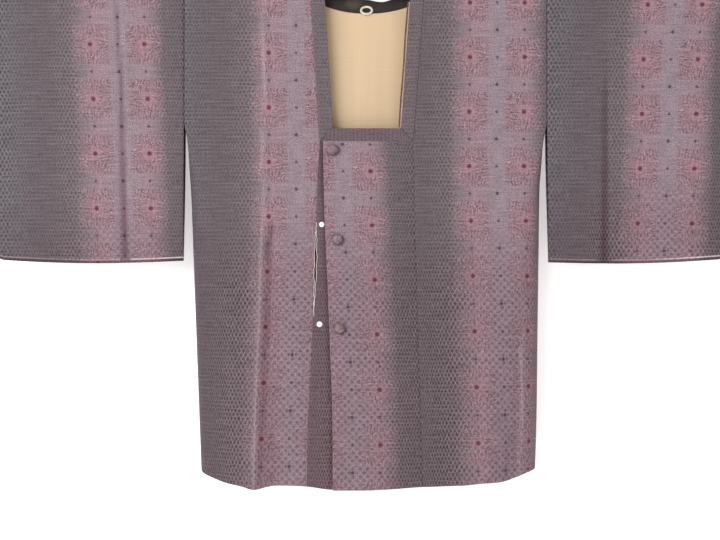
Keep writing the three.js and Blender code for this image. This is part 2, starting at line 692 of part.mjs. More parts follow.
for (const [name, side] of [["right", -1], ["left", 1]]) {
  add(coat, `front_${name}`, frontPanel(side), CLOTH);
  add(coat, `back_${name}`, backPanel(side), CLOTH);
  add(coat, `sleeve_${name}`, sleeve(side), CLOTH);
  add(coat, `collar_${name}`, collarSide(side), CLOTH);
}
add(coat, "band_upper", frontBand(true), CLOTH);
add(coat, "band_under", frontBand(false), CLOTH);
add(coat, "collar_bar_upper", collarBar(true), CLOTH);
add(coat, "collar_bar_under", collarBar(false), CLOTH);
add(coat, "collar_back", collarBack(), DARK_CLOTH);
add(coat, "collar_facing", collarFacing(), LINING_CLOTH);
add(coat, "lining_back", backLining(), LINING_CLOTH);
add(coat, "pocket_bag", pocketBag(), LINING_CLOTH);
add(coat, "hanging_loop", hangingLoop(), LOOP_CORD);
BUTTONS.forEach(({ x, h }, i) => {
  add(coat, `button_${i + 1}`, standing(BUTTON_PROFILE, 16, x, h, upperLift(x, h)), BUTTON_CLOTH);
});
SNAPS.forEach(({ x, h }, i) => {
  add(coat, `snap_${i + 1}`, standing(SNAP_PROFILE, 14, x, h, underLift(x)), SNAP_METAL);
});
add(michiyuki, "hanger_rod", hangerRod(), ROD_WOOD);
add(michiyuki, "hanger_hook", hangerHook(), HOOK_STEEL);

export default michiyuki;
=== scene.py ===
import math
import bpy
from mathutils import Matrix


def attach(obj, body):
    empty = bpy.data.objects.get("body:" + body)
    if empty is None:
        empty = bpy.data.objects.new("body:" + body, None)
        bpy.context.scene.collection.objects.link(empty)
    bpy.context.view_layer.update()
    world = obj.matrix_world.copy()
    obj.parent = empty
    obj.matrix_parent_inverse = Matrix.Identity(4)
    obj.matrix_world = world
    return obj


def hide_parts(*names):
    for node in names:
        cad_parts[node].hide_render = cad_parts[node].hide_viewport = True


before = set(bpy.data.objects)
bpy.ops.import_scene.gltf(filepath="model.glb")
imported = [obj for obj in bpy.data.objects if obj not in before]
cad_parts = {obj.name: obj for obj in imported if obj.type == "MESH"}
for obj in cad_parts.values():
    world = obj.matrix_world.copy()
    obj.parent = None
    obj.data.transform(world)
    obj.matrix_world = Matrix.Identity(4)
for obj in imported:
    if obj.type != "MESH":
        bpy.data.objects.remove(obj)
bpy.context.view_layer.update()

from types import SimpleNamespace

import bpy
from mathutils import Vector

# ---- The two fronts ---------------------------------------------------------------------------
# One loom width of banded silk each, from the shoulder line to the hem, with the cream lining
# inside. Their inner edges are sewn to the collar and the front bands, and their side edges to
# the backs. The right one has the pocket mouth in its band seam.

# Millimetres, h is the drop below the shoulder line. Level sections of the hanging body:
# drop, right half width, left half width, half depth, reach of the side's rounding, turn of it.
SECTIONS = (
    (0, 318, 318, 13.5, 1, 0), (120, 318, 318, 14.5, 1, 0), (244, 318, 318, 15.5, 1, 0),
    (300, 313.5, 313, 19, 12, 45), (360, 306.5, 305.5, 24, 24, 90), (490, 301.5, 303.7, 36, 50, 96),
    (616, 296.7, 302, 46, 74, 100), (750, 291.7, 300.5, 55, 92, 102), (900, 286.2, 296, 61, 102, 104),
)
FRONT_HEM = (
    (-345, 849), (-310, 855), (-282, 862), (-256, 869), (-232, 873), (-212, 876), (-190, 880.5),
    (-176, 877.5), (-155, 875), (-130, 874.5), (-101, 876), (-56, 881.5), (0, 882), (40, 880.5),
    (99, 876.8), (165, 875), (205, 870), (235, 868.5), (262, 863), (290, 855), (318, 851), (350, 849),
)
BACK_HEM = ((-345, 849), (-180, 851), (-60, 849), (60, 852), (190, 850), (345, 849))
# Soft folds that open towards the hem: place, lean, drop where it starts, rise, half width.
FRONT_FOLDS = (
    (-189, 10, 380, 10, 19), (-157, 8, 400, -5, 17), (-262, 12, 430, -5, 20),
    (152, -4, 470, -4, 26), (212, -8, 420, 6, 22), (262, -10, 440, -4, 18),
)
BACK_FOLDS = (
    (-232, 14, 380, 8, 24), (-158, 6, 480, -6, 28), (-70, -6, 430, 6, 26),
    (62, 10, 520, -5, 24), (138, -8, 400, 7, 26), (238, -12, 450, 6, 22),
)
# Creases in the cloth: from across, drop, to across, drop, half width, height (below 0 a trough).
FRONT_CREASES = (
    (-177.5, -60, -180, 470, 3.4, 1.3), (-180, 420, -191, 900, 5, 1.9), (-167, 425, -171, 640, 5.5, -2.2),
    (-158, 410, -174, 482, 4, -2.0), (-171, 580, -183, 900, 5.5, -2.0),
    (272, 590, 270, 890, 4, 1.5), (263, 620, 260, 890, 5, -1.3), (246, 770, 244, 890, 4.5, -1.4),
    (246, 255, 290, 366, 9, 0.8), (262, 250, 300, 340, 10, -0.7), (-276, 262, -232, 380, 16, 1.0),
    (-300, 300, -262, 470, 14, -1.0), (150, 300, 142, 620, 11, -0.9), (206, 330, 214, 640, 12, 0.9),
    (-120, 300, -128, 520, 9, -0.7), (-236, 520, -246, 800, 10, 1.0), (120, 640, 112, 860, 10, 0.9),
)
BACK_CREASES = (
    (-250, 262, -200, 400, 9, -1.0), (-118, 200, -112, 560, 11, 1.0), (-66, 300, -72, 640, 10, -1.2),
    (92, 240, 84, 600, 10, -1.0), (160, 220, 168, 480, 11, 1.1), (262, 270, 214, 420, 9, 0.9),
    (-176, 520, -184, 830, 9, 1.3), (28, 560, 36, 840, 9, -1.0), (196, 560, 206, 840, 10, -1.3),
)
BEND = 13.5  # radius of the cloth where it bends over the hanger's rod
QUARTER = BEND * math.pi / 2
OVER_ROD = 7.7  # how much longer the cloth is than its drop, because of that bend
BODY_HEM = 882
LEVEL_TO = 300  # rows of the cloth lie level down to here
SIDE = 345  # just past the side seams, where the hem's curve is read for them
ARMHOLE = 244
SQUARE_FOOT = 279  # the seam across the foot of the neck's square
SHOULDER_Z = -0.112  # the shoulder line, in metres below the top of the hook's inside
SHELL = 1.6  # thickness of the silk and its lining together
SIDES = ((-1, "right"), (1, "left"))  # the wearer's


def along(table, at, column=1):
    """A smooth curve through one column of a table, with no overshoot between its rows."""
    last = len(table) - 2
    i = 0
    while i < last and table[i + 1][0] <= at:
        i += 1

    def slope(k):
        k = min(max(k, 0), last)
        return (table[k + 1][column] - table[k][column]) / (table[k + 1][0] - table[k][0])

    def tangent(k):
        before = slope(k - 1)
        after = slope(k)
        return 0 if before * after <= 0 else 2 * before * after / (before + after)

    width = table[i + 1][0] - table[i][0]
    t = min(max((at - table[i][0]) / width, 0), 1)
    rise = table[i + 1][column] - table[i][column]
    a = tangent(i) * width - rise
    b = rise - tangent(i + 1) * width
    return table[i][column] + rise * t + t * (1 - t) * (a * (1 - t) + b * t)


def ruler(table, column=1):
    """That curve marked off at every millimetre, which is quicker to read."""
    start = -380
    count = 1380
    marks = [along(table, start + i, column) for i in range(count)]

    def read(at):
        place = min(max(at - start, 0), count - 1.1)
        i = int(place)
        return marks[i] + (marks[i + 1] - marks[i]) * (place - i)

    return read


half_width = {-1: ruler(SECTIONS, 1), 1: ruler(SECTIONS, 2)}
half_depth = ruler(SECTIONS, 3)
side_reach = ruler(SECTIONS, 4)
side_turn = ruler(SECTIONS, 5)
hem_drop = {"front": ruler(FRONT_HEM), "back": ruler(BACK_HEM)}


def smooth(value, low, high):
    """0 below low, 1 above high and an even slope between them."""
    t = min(max((value - low) / (high - low), 0), 1)
    return t * t * (3 - 2 * t)


def mix(a, b, t):
    return a + (b - a) * t


def drop_at(s):
    """How far below the shoulder line a place lies that is s down the cloth."""
    return BEND * (1 - math.cos(s / BEND)) if s < QUARTER else BEND + s - QUARTER


def cloth_at(h):
    """How far down the cloth a place lies, by its drop, where it is past the rod."""
    return h - BEND + QUARTER


def to_hem(h, across, face):
    """Rows above LEVEL_TO are level, and below it they come to follow the hem's curve."""
    share = min(max((h - LEVEL_TO) / (BODY_HEM - LEVEL_TO), 0), 1)
    return h + share * (hem_drop[face](across) - BODY_HEM)


def crease_height(creases, x, h):
    """How far the creases lift a place, each fading out at both its ends."""
    out = 0
    for x0, h0, x1, h1, half, rise in creases:
        run = math.hypot(x1 - x0, h1 - h0)
        t = ((x - x0) * (x1 - x0) + (h - h0) * (h1 - h0)) / run ** 2
        if -0.1 < t < 1.1:
            off = ((x - x0) * (h1 - h0) - (h - h0) * (x1 - x0)) / run
            ends = smooth(t, -0.1, 0.25) * (1 - smooth(t, 0.7, 1.1))
            out += rise * ends * math.exp(-((off / half) ** 2))
    return out


def in_fold(creases, x, h):
    """How much shade is painted into a fold: above 0 in a trough, below 0 a painted highlight on a
    ridge. Only creases narrower than 6 mm are pressed in, and one 3 mm deep has the darkest painted shade."""
    pressed = [crease for crease in creases if crease[4] < 6]
    return min(max(-crease_height(pressed, x, h) / 3, -0.3), 1)


def round_length(reach, depth, angle):
    """Length of the side's rounding, from flat to an angle, summed in short steps."""
    steps = 12
    total = 0
    for i in range(steps):
        a = (i + 0.5) / steps * angle
        total += math.hypot(reach * math.cos(a), depth * math.sin(a))
    return total * angle / steps


def edge_across(face, side, h):
    """Distance across the cloth from the middle of the body to a side seam."""
    turn = math.radians(side_turn(h))
    if face == "back" and h > 360:
        turn = math.pi - turn
    reach = side_reach(h)
    return half_width[side](h) - reach + round_length(reach, half_depth(h), turn)


def body_point(face, across, down, lift=0):
    """Where a place on the hanging cloth is, in metres: across it, down it, moved out by lift."""
    out = -1 if face == "front" else 1
    s = abs(down)
    h = drop_at(s)
    if s < QUARTER:
        r = BEND + lift
        y = out * r * math.sin(s / BEND)
        z = r * math.cos(s / BEND) - BEND
        return Vector((across / 1000, y / 1000, z / 1000 + SHOULDER_Z))
    side = -1 if across < 0 else 1
    depth = half_depth(h)
    reach = side_reach(h)
    flat = half_width[side](h) - reach
    past = abs(across) - flat
    angle = 0
    if past > 0:
        # a first guess at the angle, brought closer three times
        angle = past / math.hypot(reach, depth)
        for _ in range(3):
            speed = math.hypot(reach * math.cos(angle), depth * math.sin(angle))
            angle += (past - round_length(reach, depth, angle)) / speed
    push = lift
    for place, lean, start, rise, spread in FRONT_FOLDS if face == "front" else BACK_FOLDS:
        centre = place + lean * (1 - (h - start) / (BODY_HEM - start))
        if h > start and abs(across - centre) < 3 * spread:
            near = math.exp(-(((across - centre) / spread) ** 2))
            push += rise * smooth(h, start, BODY_HEM) * near
    push += crease_height(FRONT_CREASES if face == "front" else BACK_CREASES, across, h)
    slope = math.hypot(depth * math.sin(angle), reach * math.cos(angle))
    x = min(abs(across), flat) + reach * math.sin(angle)
    x += push * depth * math.sin(angle) / slope
    y = depth * math.cos(angle) + push * reach * math.cos(angle) / slope
    return Vector((side * x / 1000, out * y / 1000, -h / 1000 + SHOULDER_Z))


def rolled(distance):
    """The valley where a sewn edge rolls in beside its seam, in millimetres."""
    depth = 0.9
    reach = 1.9
    return -depth * math.exp(-((distance / reach) ** 2))


def paint(red, green, blue):
    """A colour given in steps of 0 to 255, as the light it sends back."""
    return [((c / 255 + 0.055) / 1.055) ** 2.4 for c in (red, green, blue)] + [1]


def bench(name, roughness):
    """A new material, and short tools for joining up its nodes."""
    material = bpy.data.materials.new(name)
    material.use_nodes = True
    tree = material.node_tree
    shader = tree.nodes["Principled BSDF"]
    shader.inputs["Roughness"].default_value = roughness

    def feed(socket, value):
        if isinstance(value, bpy.types.NodeSocket):
            tree.links.new(value, socket)
        else:
            socket.default_value = value

    def give(socket, value):
        feed(shader.inputs[socket], value)

    def calc(kind, *values):
        node = tree.nodes.new("ShaderNodeMath")
        node.operation = kind
        for socket, value in zip(node.inputs, values):
            feed(socket, value)
        return node.outputs[0]

    def times(a, b):
        return calc("MULTIPLY", a, b)

    def plus(a, b):
        return calc("ADD", a, b)

    def minus(a, b):
        return calc("SUBTRACT", a, b)

    def rest(share):
        """What a share leaves of 1."""
        return calc("SUBTRACT", 1, share)

    def between(value, low, high):
        """How far a value has come from low, at 0, to high, at 1."""
        return calc("DIVIDE", minus(value, low), high - low)

    def step(value, low, high):
        node = tree.nodes.new("ShaderNodeMapRange")
        node.interpolation_type = "SMOOTHSTEP"
        feed(node.inputs["Value"], value)
        feed(node.inputs["From Min"], low)
        feed(node.inputs["From Max"], high)
        return node.outputs["Result"]

    def curve(value, points, top=1):
        """Reads a value off the curve drawn through some points, the highest of them at top."""
        low = points[0][0]
        high = points[-1][0]
        node = tree.nodes.new("ShaderNodeFloatCurve")
        line = node.mapping.curves[0].points
        for i, (x, y) in enumerate(points):
            spot = ((x - low) / (high - low), y / top)
            if i == 0:
                line[0].location = spot
            elif i == len(points) - 1:
                line[len(line) - 1].location = spot
            else:
                line.new(*spot)
        node.mapping.update()
        feed(node.inputs["Value"], between(value, low, high))
        return times(node.outputs[0], top)

    def ramp(value, stops):
        """Reads a value off a row of colours, each with its place."""
        low = stops[0][0]
        high = stops[-1][0]
        node = tree.nodes.new("ShaderNodeValToRGB")
        marks = node.color_ramp.elements
        while len(marks) < len(stops):
            marks.new(0.5)
        for mark, (x, colour) in zip(marks, stops):
            mark.position = (x - low) / (high - low)
            mark.color = paint(*colour)
        feed(node.inputs[0], between(value, low, high))
        return node.outputs[0]

    def blend(kind, amount, a, b):
        node = tree.nodes.new("ShaderNodeMix")
        node.data_type = "RGBA"
        node.blend_type = kind
        feed(node.inputs["Factor"], amount)
        # sockets 6 and 7 and output 2 are the ones for colours
        feed(node.inputs[6], a)
        feed(node.inputs[7], b)
        return node.outputs[2]

    def point(x, y, z):
        node = tree.nodes.new("ShaderNodeCombineXYZ")
        for socket, value in zip(node.inputs, (x, y, z)):
            feed(socket, value)
        return node.outputs[0]

    def shade(colour, amount):
        """A colour made darker or lighter by a number."""
        return blend("MULTIPLY", 1.0, colour, point(amount, amount, amount))

    def noise(place, scale, detail=2):
        node = tree.nodes.new("ShaderNodeTexNoise")
        feed(node.inputs["Vector"], place)
        feed(node.inputs["Scale"], scale)
        feed(node.inputs["Detail"], detail)
        return node.outputs[0]

    def distance(place, x, y):
        node = tree.nodes.new("ShaderNodeVectorMath")
        node.operation = "DISTANCE"
        feed(node.inputs[0], place)
        feed(node.inputs[1], (x, y, 0))
        return node.outputs["Value"]

    def bump(height, depth, strength=1):
        node = tree.nodes.new("ShaderNodeBump")
        feed(node.inputs["Height"], height)
        feed(node.inputs["Distance"], depth)
        feed(node.inputs["Strength"], strength)
        tree.links.new(node.outputs[0], shader.inputs["Normal"])

    def axes(layer=None):
        """The object's own coordinates, or a UV map's, as three numbers."""
        if layer:
            node = tree.nodes.new("ShaderNodeUVMap")
            node.uv_map = layer
            source = node.outputs[0]
        else:
            source = tree.nodes.new("ShaderNodeTexCoord").outputs["Object"]
        parts = tree.nodes.new("ShaderNodeSeparateXYZ")
        feed(parts.inputs[0], source)
        return parts.outputs

    tools = SimpleNamespace(
        feed=feed, give=give, calc=calc, times=times, plus=plus, minus=minus, rest=rest, step=step,
        curve=curve, ramp=ramp, blend=blend, point=point, shade=shade, noise=noise, distance=distance,
        bump=bump, axes=axes, shader=shader,
    )
    return material, tools


# The silk's design runs in bands down the cloth. Places on it are counted in tiles of 96 mm:
# c across the bands and r down the cloth, both whole at the middle of a woven tile.
BANDS = (
    (-2.1, (112, 105, 112)), (-1.45, (111, 103, 109)), (-1.2, (110, 98, 105)), (-0.75, (113, 101, 105)),
    (-0.4, (124, 110, 114)), (-0.12, (150, 130, 137)), (0.05, (172, 141, 151)), (0.5, (165, 145, 155)),
    (1.0, (170, 142, 151)), (1.15, (150, 128, 137)), (1.35, (118, 104, 110)), (1.7, (108, 95, 100)),
    (2.1, (104, 96, 100)),
)
# How many cells of the small lattice lie across one tile, from band to band.
LATTICE = (
    (-2.1, 10), (-1.5, 14), (-1.2, 18), (-0.9, 22), (-0.65, 17), (-0.4, 13), (-0.1, 9.5),
    (0.3, 7.8), (0.8, 7.5), (1.05, 9), (1.3, 14), (1.5, 20), (1.7, 16), (2.1, 12),
)


def silk_places(t):
    """What all parts of the silk's drawing share: the place on the design, the pink bands, what
    makes the drawing uneven, and the place within a tile."""
    on = SimpleNamespace()
    on.c, on.r, _ = t.axes("cloth")
    stripes = ((-2.1, 0), (-0.42, 0), (-0.1, 1), (0.5, 1), (1.1, 1), (1.38, 0), (2.1, 0))
    on.pink = t.curve(on.c, stripes)
    # where the woven tiles show, a little beyond the pink bands
    wider = (
        (-2.1, 0), (-0.46, 0), (-0.32, 0.7), (-0.1, 1), (0.5, 1), (1.1, 1), (1.3, 0.7), (1.42, 0), (2.1, 0),
    )
    tiled = t.curve(on.c, wider)
    # how near a place is to the hem, where the small lattice comes in over the bands
    on.late = t.step(t.calc("ABSOLUTE", t.plus(on.r, 1.25)), 3.8, 5.6)
    on.shake = t.minus(t.noise(t.point(t.times(on.c, 12), t.times(on.r, 12), 7.0), 1.0, 2), 0.5)
    on.patchy = t.noise(t.point(t.times(on.c, 22), t.times(on.r, 16), 11.0), 1.0, 1)

    # how far across and down from a tile's middle, counted in threads, 60 to the tile
    thread_c = t.calc("SNAP", t.plus(on.c, 1 / 120), 1 / 60)
    thread_r = t.calc("SNAP", t.plus(on.r, 1 / 120), 1 / 60)
    on.p = t.calc("ABSOLUTE", t.minus(thread_c, t.calc("ROUND", thread_c)))
    on.q = t.calc("ABSOLUTE", t.minus(thread_r, t.calc("ROUND", thread_r)))
    on.spot = t.point(on.p, on.q, 0.0)
    on.from_middle = t.distance(on.spot, 0, 0)
    square = t.calc("MAXIMUM", t.calc("DIVIDE", on.p, 0.335), t.calc("DIVIDE", on.q, 0.355))
    on.tile = t.times(t.rest(t.step(square, 0.97, 1.03)), tiled)
    return on


def woven_tiles(t, on, colour):
    """Pinker squares, paler round their middles, filled with short strokes."""
    inside = t.times(on.tile, t.rest(t.times(on.late, 0.05)))
    ground = t.times(inside, t.times(on.pink, 0.75))
    ground = t.times(ground, t.rest(t.times(on.late, 0.75)))
    corner = t.step(on.from_middle, 0.22, 0.42)
    ground = t.times(ground, t.rest(t.times(corner, 0.3)))
    colour = t.blend("MIX", ground, colour, paint(166, 128, 139))
    halo = t.rest(t.step(on.from_middle, 0.04, 0.22))
    halo = t.times(halo, inside)
    halo = t.times(halo, t.minus(0.6, t.times(on.late, 0.25)))
    colour = t.blend("MIX", halo, colour, paint(194, 147, 156))

    # the strokes lie like the veins of four leaves that meet on the tile's diagonals
    sway = t.times(on.shake, 13)
    level_veins = t.times(t.plus(on.q, t.times(on.p, 0.2)), 104)
    level_veins = t.calc("SINE", t.plus(level_veins, sway))
    upright_veins = t.times(t.plus(on.p, t.times(on.q, 0.2)), 104)
    upright_veins = t.calc("SINE", t.plus(upright_veins, sway))
    beside_dot = t.step(t.minus(on.p, on.q), -0.04, 0.04)
    strokes = t.times(t.minus(level_veins, upright_veins), beside_dot)
    strokes = t.times(t.plus(upright_veins, strokes), 0.9)
    # slanting threads cross them and break them up
    slant = t.times(t.plus(on.p, on.q), 112)
    slant = t.calc("SINE", t.minus(slant, t.times(on.shake, 20)))
    strokes = t.plus(strokes, t.times(slant, 0.75))
    # they are fainter in some places than in others, and stop short of the dot
    slow = t.noise(t.point(t.times(on.c, 5), t.times(on.r, 5), 13.0), 1.0, 1)
    slow = t.plus(0.55, t.times(t.step(slow, 0.35, 0.6), 0.45))
    clear = t.times(inside, t.times(slow, t.step(on.from_middle, 0.05, 0.16)))
    light = t.times(t.step(strokes, 0.05, 0.85), clear)
    light = t.times(light, t.step(on.patchy, 0.2, 0.65))
    colour = t.blend("MIX", t.times(light, 0.55), colour, paint(210, 182, 190))
    dark = t.times(t.step(strokes, -0.05, -0.8), clear)
    dark = t.times(dark, t.step(on.patchy, 0.8, 0.35))
    return t.blend("MIX", dark, colour, paint(104, 72, 82))


def small_lattice(t, on, colour):
    """Light strands that cross, with a dark dot in each opening. Also gives their wave, which is
    0 on the strands and 1 in the openings."""
    phase = 0
    turns = [(-2.1, 0)]
    for i in range(1, 22):
        at = -2.1 + i * 0.2
        phase += (along(LATTICE, at - 0.15) + along(LATTICE, at - 0.05)) * 0.1
        turns.append((at, phase))
    cells = t.curve(on.c, turns, phase)
    wave_c = t.calc("COSINE", t.plus(t.times(cells, 2 * math.pi), t.times(on.shake, 1.6)))
    wave_r = t.calc("COSINE", t.times(on.r, 14 * math.pi))
    wave = t.calc("ABSOLUTE", t.times(t.plus(wave_c, wave_r), 0.5))
    shown = (
        (-2.1, 0.95), (-1.7, 0.75), (-1.45, 0.4), (-1.2, 0.25), (-0.9, 0.15), (-0.65, 0.4), (-0.4, 0.6),
        (1.2, 0.6), (1.5, 0.35), (1.75, 0.8), (2.1, 0.95),
    )
    net = t.times(t.curve(on.c, shown), t.rest(on.pink))
    # lower down it runs over the pink bands too, and less over the woven tiles
    towards_hem = ((-2.1, 0.9), (-1.3, 0.3), (-0.75, 0.9), (-0.45, 1), (0, 0.75), (1.1, 0.75), (2.1, 0.9))
    lower = t.times(on.late, t.rest(t.times(on.tile, 0.45)))
    net = t.calc("MAXIMUM", net, t.times(lower, t.curve(on.c, towards_hem)))
    net = t.calc("MAXIMUM", net, 0.08)
    dots = t.times(t.step(wave, 0.3, 0.75), net)
    dots = t.times(dots, t.step(on.patchy, 0.15, 0.7))
    strands = t.times(t.step(wave, 0.3, 0.02), net)
    strands = t.times(strands, t.step(on.patchy, 0.8, 0.3))
    colour = t.blend("MULTIPLY", t.times(dots, 0.95), colour, paint(156, 134, 148))
    return t.blend("MIX", t.times(strands, 0.6), colour, paint(180, 166, 172)), wave


def middle_dots(t, on, colour):
    """Dark dots at the tiles' middles, and smaller ones half way between them."""
    big = t.rest(t.step(on.from_middle, 0.026, 0.058))
    seen = t.calc("MAXIMUM", t.times(on.pink, 0.95), 0.24)
    colour = t.blend("MIX", t.times(big, seen), colour, paint(106, 44, 62))
    half_way = (
        (0.5, 0.5, 0.036, (84, 56, 70)), (0, 0.5, 0.03, (100, 66, 80)), (0.5, 0, 0.03, (108, 74, 90)),
    )
    for p, q, radius, dye in half_way:
        small = t.rest(t.step(t.distance(on.spot, p, q), radius * 0.5, radius * 1.2))
        colour = t.blend("MIX", t.times(small, seen), colour, paint(*dye))
    # one darker thread runs down through the middles of the tiles
    thread = t.times(t.step(on.p, 0.014, 0.006), t.times(on.pink, 0.22))
    return t.blend("MIX", thread, colour, paint(112, 82, 96))


def uneven_threads(t, on, colour):
    """Threads of uneven thickness, of which the level ones show most, with odd flecks. Also gives
    the flecks and the threads' height."""
    level = t.noise(t.point(t.times(on.c, 2.2), t.times(on.r, 34), 0.0), 1.0, 3)
    upright = t.noise(t.point(t.times(on.c, 44), t.times(on.r, 2.5), 3.0), 1.0, 2)
    flecks = t.noise(t.point(t.times(on.c, 46), t.times(on.r, 40), 5.0), 1.0, 1)
    rows = t.calc("COSINE", t.times(on.r, 28 * math.pi))
    rows = t.times(rows, t.times(t.rest(on.pink), level))
    uneven = t.plus(t.times(level, 0.6), t.times(upright, 0.35))
    uneven = t.plus(uneven, t.times(flecks, 0.95))
    uneven = t.plus(uneven, t.minus(-0.31, t.times(rows, 0.13)))
    uneven = t.calc("MAXIMUM", uneven, 0.1)
    return t.shade(colour, uneven), flecks, t.plus(level, upright)


def banded_silk(name, tint=(253, 253, 253)):
    """The coat's silk. Its UV map 'cloth' says where on the design a place lies, and 'shade' how
    much shade is painted into a pressed fold (above 0), or highlight painted on it (below 0)."""
    material, t = bench(name, 0.62)
    on = silk_places(t)
    colour = woven_tiles(t, on, t.ramp(on.c, BANDS))
    colour, wave = small_lattice(t, on, colour)
    colour = middle_dots(t, on, colour)
    colour, flecks, height = uneven_threads(t, on, colour)
    colour = t.blend("MULTIPLY", on.late, colour, paint(244, 236, 238))
    colour = t.blend("MULTIPLY", 1.0, colour, paint(*tint))
    # painted shade down in the folds, and on their ridges a painted highlight on the flecks
    fold, _, _ = t.axes("shade")
    colour = t.blend("MULTIPLY", t.step(fold, 0.0, 1.0), colour, paint(198, 176, 186))
    painted_ridge_highlight = t.times(t.step(fold, 0.0, -1.0), t.times(flecks, 1.4))
    colour = t.blend("MIX", t.calc("MINIMUM", painted_ridge_highlight, 1.0), colour, paint(222, 210, 214))
    t.give("Base Color", colour)
    t.give("Sheen Weight", 0.08)
    t.give("Sheen Roughness", 0.4)
    t.give("Specular IOR Level", 0.25)
    t.bump(t.plus(t.times(wave, 0.3), height), 0.00025, 0.5)
    return material


def lining_silk(name, tone):
    """Plain silk with faint level and upright threads and slow changes along both."""
    material, t = bench(name, 0.5)
    x, y, z = t.axes()
    fine_x = t.times(x, 700)
    fine_z = t.times(z, 700)
    side_y = t.times(y, 12)
    level = t.noise(t.point(t.times(x, 12), side_y, fine_z), 1.0)
    upright = t.noise(t.point(fine_x, side_y, t.times(z, 9)), 1.0)
    slow = t.noise(t.point(t.times(x, 45), side_y, t.times(z, 4)), 1.0, 1)
    uneven = t.plus(t.times(t.plus(level, upright), 0.12), 0.8)
    uneven = t.plus(uneven, t.times(slow, 0.16))
    # painted shade along one faint level crease where the length was folded, and a darker line at the centre
    # seam
    rise = t.plus(0.352, t.times(x, -0.04))
    pressed = t.step(t.calc("ABSOLUTE", t.plus(z, rise)), 0.0016, 0)
    seam = t.step(t.calc("ABSOLUTE", t.plus(x, 0.006)), 0.0016, 0)
    marks = t.plus(t.times(pressed, 0.07), t.times(seam, 0.04))
    uneven = t.minus(uneven, marks)
    colour = t.shade(paint(*tone), uneven)
    t.give("Base Color", colour)
    t.give("Sheen Weight", 0.1)
    t.bump(t.plus(level, upright), 0.0002, 0.4)
    return material


silk = banded_silk("banded silk")
lining = lining_silk("cream lining silk", (202, 174, 140))


def cloth_sheet(name, cells, place, weave, thickness, materials, spread=0.85):
    """A wall of cloth: place gives a point in metres, weave where on the design it lies, and a
    third number for the shade painted into a fold, below 0 a highlight painted on it. Both are
    asked with shares of the piece's width and length, closer together at its edges."""
    bpy.ops.object.select_all(action="DESELECT")
    bpy.ops.mesh.primitive_grid_add(x_subdivisions=cells[0], y_subdivisions=cells[1], size=2)
    piece = bpy.context.object
    piece.name = name
    mesh = piece.data
    threads = []
    for vertex in mesh.vertices:
        shares = []
        for share in ((vertex.co.x + 1) / 2, (vertex.co.y + 1) / 2):
            shares.append(share - spread * math.sin(2 * math.pi * share) / (2 * math.pi))
        threads.append(weave(*shares))
        vertex.co = place(*shares)
    mesh.uv_layers[0].name = "cloth"
    folds = mesh.uv_layers.new(name="shade")
    for loop, on_design, on_folds in zip(mesh.loops, mesh.uv_layers["cloth"].data, folds.data):
        c, r, *fold = threads[loop.vertex_index]
        on_design.uv = (c, r)
        on_folds.uv = (fold[0] if fold else 0, 0)
    mesh.update()
    outward = sum(face.normal.y * face.center.y * face.area for face in mesh.polygons)
    if outward < 0:
        bpy.ops.object.mode_set(mode="EDIT")
        bpy.ops.mesh.select_all(action="SELECT")
        bpy.ops.mesh.flip_normals()
        bpy.ops.object.mode_set(mode="OBJECT")
    for material in materials:
        mesh.materials.append(material)
    bpy.ops.object.modifier_add(type="SOLIDIFY")
    wall = piece.modifiers[-1]
    wall.thickness = thickness / 1000
    wall.offset = 0
    wall.material_offset = len(materials) - 1
    bpy.ops.object.modifier_apply(modifier=wall.name)
    bpy.ops.object.modifier_add(type="BEVEL")
    edge = piece.modifiers[-1]
    edge.width = thickness * 0.0003
    edge.segments = 2
    edge.angle_limit = math.radians(60)
    bpy.ops.object.modifier_apply(modifier=edge.name)
    bpy.ops.object.shade_smooth()
    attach(piece, "root")
    return piece


# How far across the seams lie, by their drop.
COLLAR_SEAM = {
    -1: ruler(((0, -97), (SQUARE_FOOT, -79.5))),
    1: ruler(((0, 104), (SQUARE_FOOT, 83.5))),
}
BAND_SEAM = {
    -1: ruler((
        (SQUARE_FOOT, -79.5), (382, -84.8), (504, -87), (632, -92.2), (761, -98.5), (BODY_HEM, -101.5),
    )),
    1: ruler(((SQUARE_FOOT, 83.5), (632, 91.8), (BODY_HEM, 99))),
}
# Where the middle of a tile column lies across each side's strip of cloth, and where a row does.
COLUMN = {
    -1: ruler(((120, -169.4), (410, -168.4), (507, -170.6), (602, -173.1), (698, -175.7), (795, -179.1))),
    1: ruler(((131, 183), (227, 181.6), (323, 180.8), (421, 183.5), (515, 186), (608, 188.4), (798, 193.6))),
}
ROW = {-1: 124, 1: 131.5}
TILE = (95.6, 95.7)  # across and down the cloth


def design(side, face, across, down):
    """The place on the silk's design of a place on a side's strip of cloth."""
    h = drop_at(abs(down)) if face == "front" else 0
    return (across - COLUMN[side](h)) / TILE[0], (down - OVER_ROD - ROW[side]) / TILE[1]


def inner_edge(side, h):
    return COLLAR_SEAM[side](h) if h < SQUARE_FOOT else BAND_SEAM[side](h)


POCKET_TOP = 428
POCKET_LENGTH = 128
POCKET_OPEN = 2.3
STITCH_GAP = 0.1


def pocket_gap(h):
    """Half the pocket mouth's width: the seam's two edges lie apart in a long lens."""
    t = min(max((h - POCKET_TOP) / POCKET_LENGTH, 0), 1)
    return STITCH_GAP + POCKET_OPEN * math.sin(math.pi * t) ** 0.8


